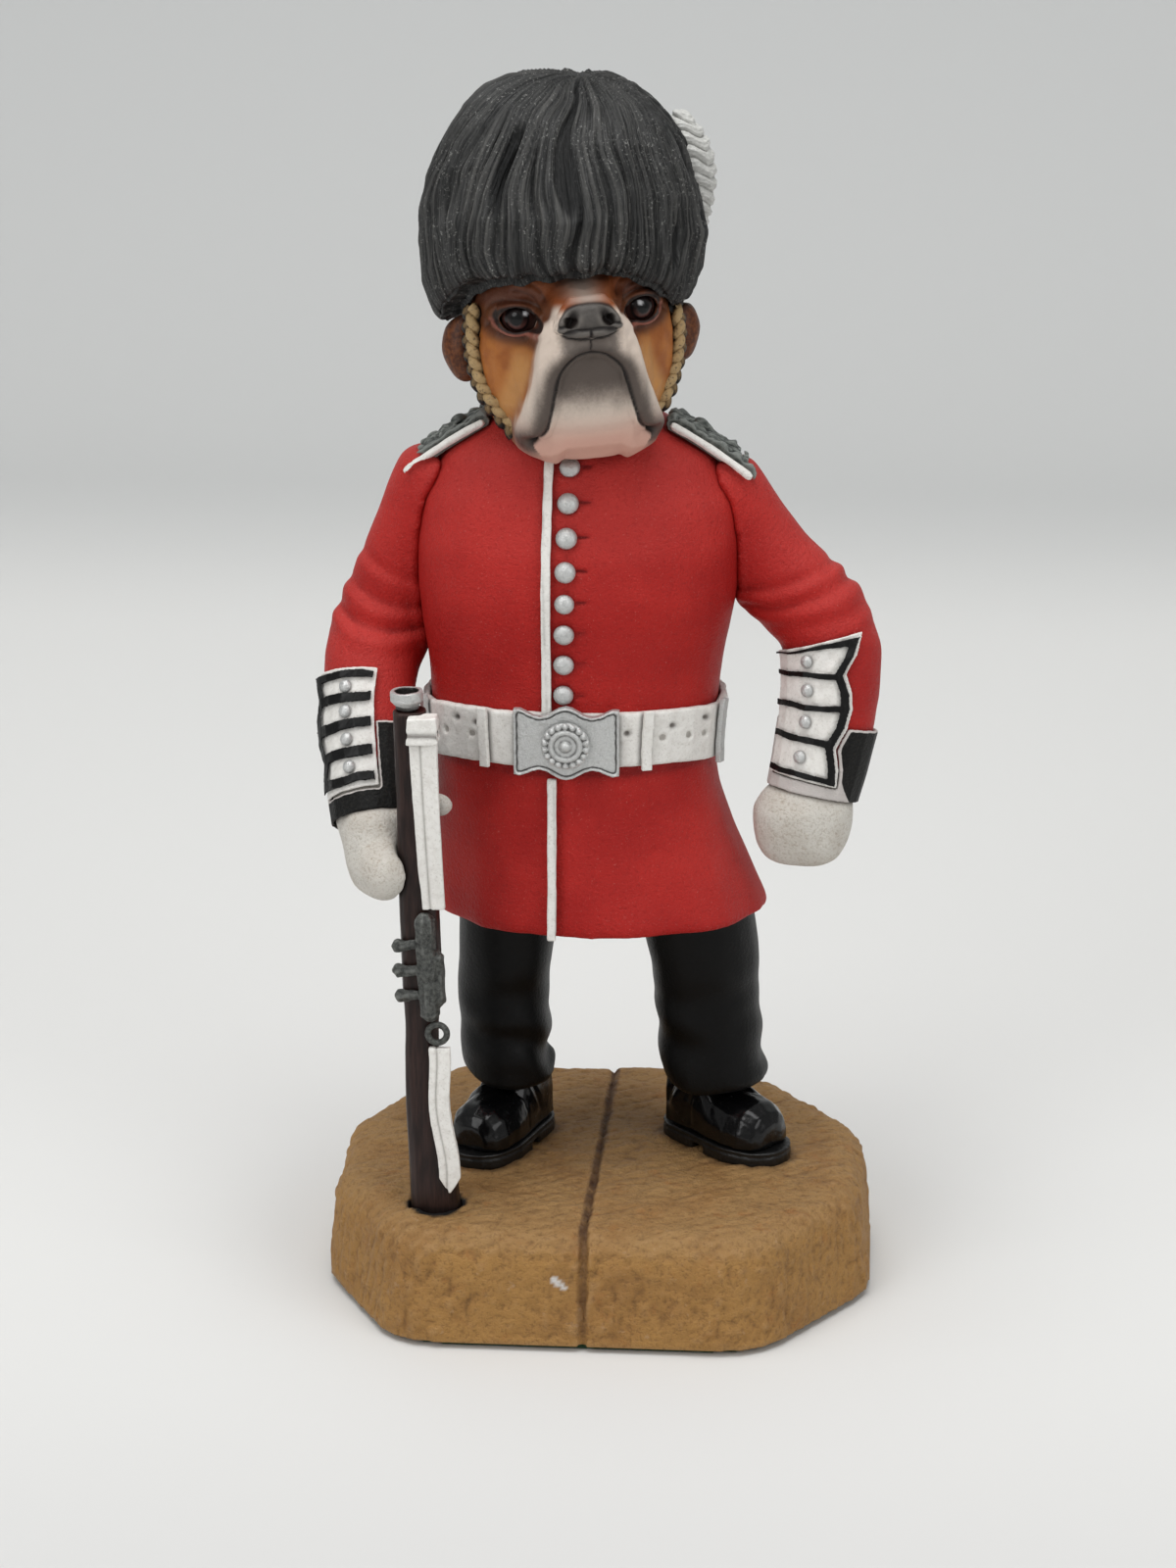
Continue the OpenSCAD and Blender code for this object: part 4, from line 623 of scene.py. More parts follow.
def buttons(name, node, rings):
    """Domed buttons lathed from a half outline (radius, height) and set on a node's places."""
    shape = bmesh.new()
    heights = shape.verts.layers.float.new("height")
    for middle, axis, points in seats(node):
        out = axis if axis @ shown_side > 0 else -axis
        tall = points @ out
        radius = np.linalg.norm(points - np.outer(tall, out), axis=1).max()
        profile = []
        for r, h in rings:
            profile.append(shape.verts.new((r * radius, 0, tall.min() + h * np.ptp(tall))))
            profile[-1][heights] = h
        edges = [shape.edges.new(pair) for pair in zip(profile, profile[1:])]
        bmesh.ops.spin(
            shape, geom=profile + edges, cent=(0, 0, 0), axis=(0, 0, 1), angle=2 * math.pi,
            steps=lathe_steps, use_merge=True, use_duplicate=False,
        )
        made = [v for v in shape.verts if not v.tag]
        turn = Vector((0, 0, 1)).rotation_difference(Vector(out)).to_matrix().to_4x4()
        bmesh.ops.transform(shape, verts=made, matrix=Matrix.Translation(Vector(middle)) @ turn)
        for vert in made:
            vert.tag = True
    bmesh.ops.remove_doubles(shape, verts=shape.verts, dist=lathe_join)
    bmesh.ops.recalc_face_normals(shape, faces=shape.faces)
    bmesh.ops.scale(shape, vec=(MM, MM, MM), verts=shape.verts)
    foot = [1 - rise(v[heights], 0.02, 0.3) for v in shape.verts]
    piece = placed(name, shape)
    carry(piece.data, "relief", np.full(len(foot), 0.5))
    carry(piece.data, "shade", foot)
    piece.data.materials.append(silver_paint)
    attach(piece, "root")
    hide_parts(node)
    return piece


domed = [(0, 0), (0.94, 0), (1, 0.12), (0.97, 0.3), (0.84, 0.58), (0.6, 0.82), (0.32, 0.95),
         (0, 1)]
buttons("coat_buttons", "tunic_buttons", domed)


# ---------------------------------------------------------------- belt
# White waist belt, drawn up towards the front, with two white keepers and silver fittings: two
# end slides, and a shaped plate with a roundel. It is cast on the coat, pierced and brushed white.
def lifted(co):
    """How far the belt and its fittings are drawn up towards the front of the coat."""
    return belt_lift * rise(-co[:, 1], 2, 12)


belt = Casting("waist_belt", "belt", grain=0.2, soften=6)
x, y, z = belt.co.T
hole_wide = 0.4
hole_at = [(-17.2, 73.0), (-14.7, 72.7), (-9.6, 72.3), (3.6, 72.1), (9.0, 72.6), (12.8, 73.2)]
hole = np.zeros(len(belt.co))
for hx, hz in hole_at:
    hole = most(hole, blot(x - hx, z - hz, hole_wide, hole_wide) * (y < 0))
belt.push(belt.rough((0.07, 2.2), (0.04, 0.8)) - 0.45 * hole)
fittings = belt.near("buckle_plate", "belt_keepers", "belt_slides")
belt.shade(0.25, "tunic", also=most(0.9 * hole, 0.8 * hump(fittings, 0.35)))
belt.co[:, 2] += lifted(belt.co)
belt.paint(white_paint, 5, 0.12)
keepers = Casting("keeper_loops", "belt_keepers", grain=0.13, soften=5)
keepers.push(keepers.rough((0.04, 0.9)))
keepers.shade(0.2, "belt")
keepers.co[:, 2] += lifted(keepers.co)
keepers.paint(white_paint)
for name, node, under in (
    ("end_slides", "belt_slides", "belt"),
    ("buckle_casting", "buckle_plate", "belt"),
    ("roundel", "buckle_roundel", "buckle_plate"),
):
    fitting = Casting(name, node, grain=0.1, soften=4)
    ahead = fitting.spread(rise(-fitting.normals()[:, 1], 0.5, 0.9), 24)
    ahead *= node == "buckle_plate"
    rim, furrow = hump(ahead - 0.62, 0.12), hump(ahead - 0.88, 0.06)
    fitting.push(fitting.rough((0.04, 0.7)) + 0.16 * rim - 0.14 * furrow)
    fitting.shade(0.2, under, also=0.6 * furrow)
    fitting.co[:, 2] += lifted(fitting.co)
    fitting.paint(silver_paint, 6, 0.07)


# ---------------------------------------------------------------- shoulder straps
# Stiff straps with a white edging along the front, their tops built up in rough grey-green
# relief with a button at the neck end.
strap_finish = Finish("strap_grey", (52, 56, 53), shine=0.4)
strap_blot = strap_finish.mottle(0.7, 3, 0.6)
strap_finish.lay((104, 108, 103), strap_blot.step(0.3, 0.7))
# Painted highlight on the ridges of the relief, and painted shade in its hollows.
strap_finish.lay((142, 146, 141), strap_finish.ridges(0.55, 0.9), 0.6)
strap_finish.lay((18, 20, 19), strap_finish.hollows(0.5, 0.85), 0.9)
strap_grey = strap_finish.coat(0.45, strap_blot, 0.15)
for side in ("right", "left"):
    strap = Casting(side + "_strap", side + "_shoulder_strap", grain=0.16, soften=5)
    crest = rise(strap.normals()[:, 2], 0.3, 0.7)
    scrolls = np.abs(lumps(strap.co + 0.5 * lumps(strap.co, 1.1, 4)[:, None], 1.25, 1))
    strap.push(crest * (0.75 * (scrolls - 0.15) + 0.12 * lumps(strap.co, 0.5, 2)))
    strap.paint(strap_grey, 7, 0.14)
    edging = Casting(side + "_strap_edging", side + "_strap_piping", grain=0.13, soften=5)
    edging.push(edging.rough((0.06, 1.2)) - 0.12)
    edging.shade(0.2, side + "_shoulder_strap", "tunic")
    edging.paint(white_paint)
buttons("strap_studs", "strap_buttons", domed).data.materials[0] = strap_grey


# ---------------------------------------------------------------- sleeves
# Cast sleeves in the coat's scarlet, smooth over the upper arm, with soft folds gathered
# at the bend of the elbow, and swelled a little to close the seam with the coat.
seam_swell = 0.4
elbow_folds = {
    "right": [(82.4, -0.24, -29.0, 1.0), (85.6, -0.34, -29.0, 0.9), (89.2, -0.42, -28.0, 0.5)],
    "left": [(86.6, 0.34, 27.0, 1.0), (89.6, 0.42, 27.0, 0.8), (83.4, 0.20, 27.0, 0.5)],
}
for side in ("right", "left"):
    sleeve = Casting(side + "_arm", side + "_sleeve", grain=0.34, soften=34)
    sleeve.blunt(14, 0.1)
    x, y, z = sleeve.co.T
    folds = np.zeros(len(sleeve.co))
    for height, slope, across, strength in elbow_folds[side]:
        aside = x - across
        off = z - height - slope * aside - 0.02 * aside ** 2 + 0.9 * lumps(sleeve.co, 7, 3)
        fold = strength * (hump(off, 1.0) - 0.8 * hump(off - 1.5, 0.8))
        folds += fold * (0.75 + 0.5 * lumps(sleeve.co, 5, 4))
    folds *= rise(8 - y, 0, 6)
    sleeve.push(0.42 * folds + sleeve.rough((0.12, 7), (0.04, 2.5)))
    sleeve.push(seam_swell * (1 - rise(sleeve.near("tunic"), 0.3, 1.6)))
    touching = sleeve.near(side + "_cuff", side + "_cuff_flash", side + "_strap_piping",
                           side + "_shoulder_strap", reach=1.5)
    sleeve.mark("shade", 0.6 * hump(touching, 0.35))
    sleeve.paint(scarlet_paint, 9, 0.22)


# ---------------------------------------------------------------- cuffs
# Black cuffs, each with a white slashed panel that is edged and barred with raised black lace, a
# white line round the top and beside the lace, and four silver buttons between the bars. On the
# left cuff the white is painted out past the panel, so that the black left is a rounded patch.
black = Finish("cuff_black", (12, 12, 11), shine=0.2)
cloth = black.mottle(0.35, 2, 0.7)
black.lay((50, 48, 44), cloth.step(0.45, 0.8), 0.55)
black.lay((196, 190, 186), black.ragged("edge", cloth, 0.3).step(0.35, 0.6))
cuff_black = black.coat(cloth * 0.3 + 0.4, cloth, 0.16)
lacquer = Finish("lace_black", (9, 9, 9), shine=0.25)
stitch = lacquer.mottle(0.4, 2, 0.6)
# Painted highlight along the ridges of the glossy cords, broken by a mottle.
lacquer.lay((48, 47, 45), lacquer.ridges(0.6, 1) * stitch * 0.5)
lace_black = lacquer.coat(stitch * 0.2 + 0.26, stitch, 0.05)
line_wide = {"right": 0.5, "left": 0.7}
lace_thinned = {"right": (0.3, 0.0), "left": (0.06, 0.24)}
patch_off, patch_curve = 0.15, 1.5
for side in ("right", "left"):
    cuff = Casting(side + "_cuff_band", side + "_cuff", grain=0.16, soften=24)
    beside = cuff.near(side + "_cuff_bars", side + "_cuff_flash")
    arm = points_of(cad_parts[side + "_sleeve"].data)
    climb = arm[:, 2] - arm[:, 2].min()
    elbow, wrist = arm[(climb > 10) & (climb < 16)].mean(0), arm[climb < 6].mean(0)
    up_arm = np.array(Vector(elbow - wrist).normalized())
    end_face = rise(cuff.normals() @ up_arm, 0.3, 0.6)
    top_line = np.clip(2.4 * cuff.spread(end_face, 3), 0, 1)
    cuff.push(cuff.rough((0.05, 1.6)))
    lace_line = rise(line_wide[side] - beside, 0, 0.15)
    flash = points_of(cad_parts[side + "_cuff_flash"].data)
    flash_end = flash[flash[:, 2] < flash[:, 2].min() + 2.5][:, 0].max()
    height = cuff.co @ up_arm
    off_middle = (height - height.min()) / np.ptp(height) * 2 - 1
    past_patch = cuff.co[:, 0] - flash_end - patch_off - patch_curve * off_middle ** 2
    painted_out = (1 - rise(past_patch, -0.15, 0.15)) * rise(-cuff.normals()[:, 1], 0, 0.2)
    cuff.mark("edge", most(top_line, lace_line, painted_out * (side == "left")))
    cuff.paint(cuff_black)
    panel = Casting(side + "_cuff_panel", side + "_cuff_flash", grain=0.13, soften=5)
    panel.push(panel.rough((0.04, 1)))
    beside = panel.near(side + "_cuff_bars", "cuff_buttons")
    panel.mark("shade", 0.8 * hump(beside, 0.16))
    panel.paint(white_paint)
    lace = Casting(side + "_cuff_lace", side + "_cuff_bars", grain=0.1, soften=12)
    thin_bars, thin_edge = lace_thinned[side]
    lace_out = lace.normals()
    lace.co -= thin_bars * np.outer(lace_out @ up_arm, up_arm)
    lace.co[:, 0] -= thin_edge * lace_out[:, 0]
    lace.push(lace.rough((0.05, 0.9)))
    lace.co += np.outer(0.16 * lumps(lace.co, 2.2, 2), up_arm)
    lace.paint(lace_black)
stud_wide = 1.16
buttons("cuff_studs", "cuff_buttons", [(r * stud_wide, h * stud_wide) for r, h in domed])


# ---------------------------------------------------------------- gloves
# White gloves cast as smooth mittens, the right one closed round the rifle and the left one
# resting on the hip, with a grey-brown speckle left in the pores.
chalk = Finish("glove_white", (206, 202, 194), shine=0.3)
grime = chalk.mottle(0.3, 2, 0.7)
grit = chalk.mottle(0.55, 3, 0.7)
wash = chalk.mottle(4, 2)
chalk.lay((190, 183, 173), wash.step(0.4, 0.7), 0.6)
chalk.lay((150, 136, 118), (1 - grime).step(0.5, 0.66), 0.4)
chalk.lay((142, 118, 92), (1 - grit).step(0.52, 0.7) * wash.step(0.4, 0.62), 0.4)
# Painted shade in the hollows of the gloves.
chalk.lay((112, 98, 84), chalk.hollows(0.55, 1), 0.6)
chalk.lay((66, 56, 48), "shade", 0.75)
glove_white = chalk.coat(0.58, grime + grit, 0.14)
for side in ("right", "left"):
    glove = Casting(side + "_mitten", side + "_glove", grain=0.26, soften=40)
    glove.blunt(12, 0.12)
    glove.push(glove.rough((0.10, 4), (0.03, 1.4)))
    glove.shade(0.35, side + "_cuff", "rifle_stock", "upper_sling", "tunic")
    glove.paint(glove_white, 8, 0.2)


# ---------------------------------------------------------------- head
# The dog's head is one casting with the jaw and nose: hanging lips over a broad chin, creases
# round the muzzle, heavy lids. It is sprayed tan, shaded brown round the eyes, and airbrushed
# white and pink on the muzzle, with soot-dark lips and a grey nose. Painted shade darkens the
# jaw under the lips, the skin under the nose, the hollows, creases and pits, and where the cap
# and straps meet it; a painted highlight lies on the ridges of the nose.
head_middle = np.array((-4.0, 0.5, 117.0))
head_turn, head_tilt, jaw_forward = math.radians(12), math.radians(4), 0.9
head_set = np.array(Matrix.Rotation(head_turn, 3, "Z") @ Matrix.Rotation(-head_tilt, 3, "Y"))


def face_place(co):
    """Places in the head's own frame: x across the face, y into the head, z up."""
    return ((co - head_middle) @ head_set).T


def drawn(points, steps=6):
    """A smooth line through a few drawn points."""
    p = np.array([points[0], *points, points[-1]], float)
    line = []
    for a, b, c, d in zip(p, p[1:], p[2:], p[3:]):
        for t in np.arange(steps) / steps:
            line.append(0.5 * (2 * b + (c - a) * t + (2 * a - 5 * b + 4 * c - d) * t * t
                               + (3 * b - a - 3 * c + d) * t ** 3))
    return np.array(line + [p[-1]])


def from_line(points, u, v):
    """How far each point (u, v) is from a line drawn through a few points."""
    line = drawn(points)
    near = np.full(len(u), 1e9)
    for a, b in zip(line, line[1:]):
        step = max(np.hypot(*(b - a)), 1e-6)
        du, dv = (b - a) / step
        t = np.clip((u - a[0]) * du + (v - a[1]) * dv, 0, step)
        near = np.minimum(near, np.hypot(u - a[0] - t * du, v - a[1] - t * dv))
    return near


def within(points, u, v):
    """Distance inside (positive) or outside (negative) an outline drawn on one half of the face."""
    half = drawn(points)
    line = np.vstack([half, (half * (-1, 1))[::-1]])
    inside = np.zeros(len(u), bool)
    for a, b in zip(line, np.roll(line, -1, 0)):
        crosses = (a[1] > v) != (b[1] > v)
        rate = (b[0] - a[0]) / (b[1] - a[1]) if b[1] != a[1] else 0
        inside ^= crosses & (u < a[0] + (v - a[1]) * rate)
    gap = from_line(points, np.abs(u), v)
    return np.where(inside, gap, -gap)


muzzle_edge = [(0, 9.3), (1.7, 9.15), (2.95, 8.6), (3.9, 7.7), (5.0, 6.2), (6.2, 3.4), (7.1, -0.6),
               (8.1, -3.6), (8.9, -6.4), (8.4, -8.9), (6.0, -10.9), (0, -12)]
nose_edge = [(0, 9.2), (1.7, 9.05), (2.9, 8.45), (3.6, 7.5), (4.0, 6.4), (3.5, 5.8), (2.2, 5.3),
             (0.5, 5.05), (0, 5.05)]
lip_edge = [(0, 3.3), (1.5, 3.0), (2.8, 2.1), (3.9, 0.6), (4.4, -1.2), (4.8, -3.2), (5.3, -5.2),
            (6.0, -6.6), (7.2, -7.4)]
mouth_edge = lip_edge + [(6.4, -8.6), (4.6, -10.5), (0, -12)]
nostril_slit = [(2.2, 7.2), (2.7, 6.8), (3.3, 6.65), (3.8, 6.75)]
nose_step = [(0, 6.3), (1.4, 6.3), (2.4, 6.1), (3.2, 5.9)]
nose_foot = [(0, 5.0), (1.3, 5.0), (2.5, 5.2), (3.2, 5.6)]
brow_wrinkles = [[(4.9, 7.2), (5.2, 8.4), (6.2, 9.3), (7.4, 9.6)],
                 [(4.2, 8.6), (4.6, 9.6), (5.6, 10.3)], [(9.3, 6.1), (10.2, 5.6), (10.8, 4.9)]]
eye_x, eye_y, eye_z, eye_radius = 6.7, -8.3, 6.2, 2.3
opening_x, opening_wide, opening_high = 7.45, 2.1, 1.45
nostril_x, nostril_z, pit_x, pit_z = 2.1, 7.4, 7.0, -7.4

jaw_out = Vector(head_set @ np.array((0, -jaw_forward, 0)))
head = Casting("dog_head", "head", "lower_jaw", "nose", grain=0.213, soften=22, swell=0.15,
               shift={"lower_jaw": jaw_out})
fx, fy, fz = face_place(head.co)
ax, front, snout = np.abs(fx), rise(-fy, 0, 4), rise(-fy, 9.5, 12.5)


def groove(line, width):
    """A groove along a line that is drawn on both halves of the face."""
    return hump(from_line(line, ax, fz), width)


on_nose = snout * rise(-(head.normals() @ head_set[:, 1]), 0.3, 0.6)
in_muzzle, in_nose, in_mouth = (within(e, fx, fz) for e in (muzzle_edge, nose_edge, mouth_edge))
to_lip = from_line(lip_edge, ax, fz)
outside_lip = (in_mouth < 0) * 1.0
to_lid = np.hypot((ax - opening_x) / opening_wide, (fz - eye_z) / opening_high)
above = fz - nostril_z
nostril = blot(ax - nostril_x + 0.3 * above, above, 0.62, 0.95) * on_nose
slit = groove(nostril_slit, 0.2) * on_nose
nose_rim = 0.8 * hump(in_nose - 0.05, 0.16) * rise(fz, 5.4, 6.2)
cleft = hump(fx, 0.15) * band(fz, 3.2, 4, 6.2, 6.5)
nose_lines = most(nose_rim, groove(nose_step, 0.17), groove(nose_foot, 0.17), cleft) * on_nose
lobes = blot(ax - 1.5, fz - 5.75, 1.3, 0.42) * snout
pit = blot(ax - pit_x, fz - pit_z, 0.5, 0.6) * front
crease = hump(in_muzzle + 0.2, 0.42) * band(fz, -9.5, -7, 7, 8.6) * front
off_muzzle = rise(-in_muzzle, 0.2, 0.9) * front
wrinkles = sum(groove(line, 0.25) for line in brow_wrinkles) * off_muzzle
lid, lid_crease = hump(to_lid - 1.22, 0.13) * front, hump(to_lid - 1.56, 0.12) * off_muzzle
cheek = rise(ax, 8.5, 11) * hump(fz + 3.5, 4.5)
mouth_in = rise(in_mouth, -0.1, 0.9) * rise(fz, -9.6, -6.6) * snout
lip_roll = hump(to_lip - 1.0, 0.75) * outside_lip * rise(fz, -8.8, -6) * snout
muzzle_puff = hump(in_muzzle - 1.1, 0.9) * (1 - rise(fz, 5, 8)) * front
chin = blot(fx, fz + 4.6, 3.4, 3.2) * snout
chin_rise = rise(4.4 - ax, 0, 1.4) * (1 - rise(fz, -9.4, -6.5)) * snout
head.push(
    0.22 * rise(in_nose, 0.05, 0.8) * snout + 0.32 * lobes - 0.3 * nose_lines - 1.2 * nostril
    - 0.35 * slit - jaw_forward * mouth_in - 0.5 * hump(to_lip, 0.2) * front + 0.42 * lip_roll
    + 0.55 * chin - 0.8 * pit - 0.55 * crease + 0.3 * muzzle_puff - 0.16 * wrinkles
    + 0.24 * lid - 0.2 * lid_crease + 0.5 * cheek + 0.05 * lumps(head.co, 3, 1)
)
head.co += (chin_rise * 0.75)[:, None] * head_set[:, 2]

nearby = head.near("bearskin", "right_chin_chain", "left_chin_chain", reach=1.5)
sprayed = rise(in_muzzle + 0.2 * lumps(head.co, 1.2, 2), -0.35, 0.4)
head.mark("muzzle", sprayed * front * (1 - rise(fz, 7.8, 8.8)))
# The soot mark: dark lips, and painted shade on the jaw under the overhanging lips.
lip_soot = hump(to_lip, 1.5 + 0.5 * rise(-fz, -1, 6)) * outside_lip
under_lip_shade = rise(in_mouth, -0.1, 0.1) * rise(fz + 0.5 * lumps(head.co, 1.5, 3), -7.0, 1.2)
head.mark("soot", most(lip_soot, under_lip_shade) * front)
# Painted shade in grey under the nose.
head.mark("under", band(fz, 2.6, 4.0, 5.2, 6) * (1 - rise(ax, 2.0, 4.6)) * snout)
off_eye = np.hypot((ax - opening_x) / 1.35, fz - eye_z - 0.4)
head.mark("brow", (1 - rise(off_eye, 2.3, 4.6)) * front)
head.mark("crown", rise(fz + 0.12 * ax, 7.6, 9.6) * front)
head.mark("blaze", hump(fx, 1.9) * rise(fz, 8.6, 9.4) * front)
head.mark("pale", band(-in_muzzle, 0.1, 0.5, 0.9, 2.2) * band(fz, -8, -4, 1.0, 4.0) * front)
head.mark("low", 1 - rise(fz, -9, -3.5))
head.mark("lid", hump(to_lid - 1.2, 0.2) * rise(eye_z - fz, -0.2, 0.5) * front)
head.mark("nose", rise(in_nose, -0.02, 0.15) * on_nose)
# Dark lip and lid lines, with painted shade in grooves, nostrils, pits, creases and at cap and
# straps.
lines_and_shade = most(
    nose_lines, 1.5 * nostril, 0.9 * slit, 0.85 * hump(to_lip, 0.22) * front, 1.1 * pit,
    0.3 * crease, 0.4 * wrinkles, hump(to_lid - 1.02, 0.12) * front, 0.35 * lid_crease,
    0.75 * hump(nearby, 0.3),
)
head.mark("line", np.clip(lines_and_shade, 0, 1))

coat = Finish("coat_tan", (150, 86, 38), shine=0.3)
short_hair = coat.mottle(0.4, 3, 0.7)
dapple = coat.mottle(2.6, 3)
coat.lay((174, 108, 50), dapple.step(0.35, 0.7))
coat.lay((200, 150, 90), "pale", 0.6)
coat.lay((122, 60, 30), coat.ragged("crown", dapple, 0.5).step(0.2, 0.9), 0.8)
coat.lay((78, 42, 28), coat.ragged("brow", dapple, 0.6).step(0.1, 0.9), 0.85)
coat.lay((150, 90, 76), "lid", 0.85)
white_hair = coat.over(coat.marked("low"), (212, 196, 182), (200, 156, 140))
coat.lay(white_hair, "muzzle")
coat.lay((158, 148, 138), "blaze", 0.75)
# Dark lips, and painted shade on the jaw under them.
coat.lay((60, 50, 45), coat.ragged("soot", short_hair, 0.22).step(0.04, 0.9), 0.92)
# Painted shade under the nose.
coat.lay((84, 76, 71), coat.ragged("under", short_hair, 0.4).step(0.1, 0.9), 0.8)
leather = coat.over(short_hair, (58, 54, 51), (82, 78, 74))
# Painted highlight on the ridges of the nose.
leather = coat.over(coat.ridges(0.55, 0.9) * 0.5, leather, (116, 110, 104))
coat.lay(leather, "nose")
# Painted shade in the hollows of the head.
coat.lay((44, 30, 24), coat.hollows(0.6, 1), 0.4)
# Dark lines, and painted shade, from the line mark.
coat.lay((22, 16, 14), coat.marked("line").step(0.15, 0.85), 0.92)
head.paint(coat.coat(short_hair * 0.2 + 0.4, short_hair, 0.07), 8, 0.22)

ear_paint = Finish("ear_brown", (74, 38, 20), shine=0.3)
ear_hair = ear_paint.mottle(0.5, 3, 0.7)
ear_paint.lay((118, 66, 32), ear_hair.step(0.35, 0.7))
ear_paint.lay((30, 18, 13), "shade", 0.85)
ear_brown = ear_paint.coat(0.45, ear_hair, 0.08)
for side in ("right", "left"):
    ear = Casting(side + "_ear_lobe", side + "_ear", grain=0.22, soften=70)
    ear.blunt(40, 0.4)
    ear.shade(0.7, "bearskin", side + "_chin_chain")
    ear.paint(ear_brown)


# ---------------------------------------------------------------- eyes
# Glossy painted eyeballs set behind the lids: a near-black pupil and iris with a warm lower
# rim, in a brown white-less ball, a painted highlight for the lamps' glint, under clear varnish.
gaze = Vector((0.33, -0.94, 0.05)).normalized()
glint_toward = Vector((0.16, -0.94, 0.3)).normalized()
eyes = bmesh.new()
for sign in (-1, 1):
    ball = bmesh.ops.create_uvsphere(eyes, u_segments=64, v_segments=48, radius=eye_radius)["verts"]
    look_out = Vector((sign * gaze.x, gaze.y, gaze.z))
    for vert in ball:
        vert.co *= 1 + 0.06 * rise(vert.co.normalized().dot(look_out), 0.8, 1.0)
    set_in = Matrix(head_set.tolist()).to_4x4() @ Matrix.Translation((sign * eye_x, eye_y, eye_z))
    bmesh.ops.transform(eyes, verts=ball, matrix=Matrix.Translation(Vector(head_middle)) @ set_in)
bmesh.ops.scale(eyes, vec=(MM, MM, MM), verts=eyes.verts)
eyeballs = placed("eyeballs", eyes)
ex, ey, ez = face_place(points_of(eyeballs.data))
ball_out = np.stack([np.abs(ex) - eye_x, ey - eye_y, ez - eye_z], 1)
ball_out /= np.linalg.norm(ball_out, axis=1)[:, None]


def off_sight(out, sight):
    """How many degrees each point of the balls lies off a line of sight."""
    return np.degrees(np.arccos(np.clip(out @ np.array(sight), -1, 1)))


carry(eyeballs.data, "look", off_sight(ball_out, gaze))
carry(eyeballs.data, "low", rise(-ball_out[:, 2], -0.15, 0.45))
ball_out[:, 0] *= np.sign(ex)
# The painted highlight: a pale fleck where a lamp's glint would be.
carry(eyeballs.data, "painted_glint", 1 - rise(off_sight(ball_out, glint_toward), 5, 9))
eye_finish = Finish("eye_dark", (22, 15, 15), shine=0.1, Coat_Weight=0.45, Coat_Roughness=0.02)
look_at = eye_finish.marked("look")
fleck = eye_finish.mottle(0.4, 2)
eye_finish.lay((60, 36, 32), look_at.step(36, 44))
warm = look_at.step(15, 24) * (1 - look_at.step(32, 36))
eye_finish.lay((86, 54, 50), eye_finish.marked("low") * warm)
eye_finish.lay((14, 11, 12), look_at.step(30, 33) * (1 - look_at.step(36, 40)) * 0.8)
eye_finish.lay((5, 5, 6), 1 - look_at.step(14, 19))
# Painted highlight.
eye_finish.lay((214, 214, 216), "painted_glint", 0.85)
eyeballs.data.materials.append(eye_finish.coat(fleck * 0.1 + 0.3))
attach(eyeballs, "root")
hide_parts("eyes")


# ---------------------------------------------------------------- chin strap
# A strap down each cheek to the jaw, a plait of three cords cast in one with the head,
# dry-brushed old gold over black.
cord_radius, cord_sway, cord_lift, cord_pitch = 0.66, 0.8, 0.36, 5.0
cord_stand, end_short, end_tuck = -0.35, 2.0, 1.1
gilt = Finish("chain_gold", (16, 14, 11), shine=0.35)
plait = gilt.mottle(0.35, 3, 0.7)
thread = gilt.mottle(0.9, 2, 0.6)
gilt.lay((118, 95, 62), gilt.ragged("raised", plait, 0.7).step(0.4, 0.7))
gilt.lay((176, 148, 104), gilt.ragged("raised", thread, 0.6).step(0.66, 1.0))
gilt.lay((34, 28, 20), (1 - plait).step(0.56, 0.66), 0.7)
chain_gold = gilt.coat(0.5, plait, 0.14)
for side in ("right", "left"):
    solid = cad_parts[side + "_chin_chain"].data
    local = np.stack(face_place(points_of(solid)), 1)
    levels = np.linspace(local[:, 2].max() - 0.7, local[:, 2].min() + end_short, 12)
    route = drawn([local[np.abs(local[:, 2] - level) < 1.1].mean(0) for level in levels], 24)
    run = np.concatenate([[0], np.cumsum(np.linalg.norm(np.diff(route, axis=0), axis=1))])
    tail = rise(run / run[-1], 0.72, 1.0)
    route += end_tuck * tail[:, None] * (-np.sign(route[0, 0]), 0.8, 0)
    ahead = np.gradient(route, axis=0)
    ahead /= np.linalg.norm(ahead, axis=1)[:, None]
    off_cheek = route * (1, 1, 0)
    off_cheek -= (off_cheek * ahead).sum(1)[:, None] * ahead
    off_cheek /= np.linalg.norm(off_cheek, axis=1)[:, None]
    across = np.cross(ahead, off_cheek)
    cords = bpy.data.curves.new(side + "_cords", "CURVE")
    cords.dimensions, cords.use_fill_caps = "3D", True
    cords.bevel_depth, cords.bevel_resolution = cord_radius * MM, 3
    for strand in range(3):
        phase = 2 * math.pi * (run / cord_pitch + strand / 3)
        path = (route + cord_sway * np.sin(phase)[:, None] * across
                + (cord_stand + cord_lift * np.sin(2 * phase))[:, None] * off_cheek)
        spline = cords.splines.new("POLY")
        spline.points.add(len(path) - 1)
        spots = np.column_stack([(path @ head_set.T + head_middle) * MM, np.ones(len(path))])
        spline.points.foreach_set("co", spots.ravel())
    mesh = bpy.data.meshes.new_from_object(bpy.data.objects.new(side + "_cords", cords))
    mesh.shade_smooth()
    plaited = bpy.data.objects.new(side + "_chin_strap", mesh)
    bpy.context.collection.objects.link(plaited)
    local = np.stack(face_place(points_of(mesh)), 1)
    nearest = np.abs(local[:, 2][:, None] - route[:, 2][None]).argmin(1)
    showing = off_cheek[nearest] * 0.7 + (0, -0.7, 0)
    stand = ((local - route[nearest]) * showing).sum(1)
    carry(mesh, "raised", rise(stand, -0.45, 0.95))
    mesh.materials.clear()
    mesh.materials.append(chain_gold)
    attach(plaited, "root")
    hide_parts(side + "_chin_chain")
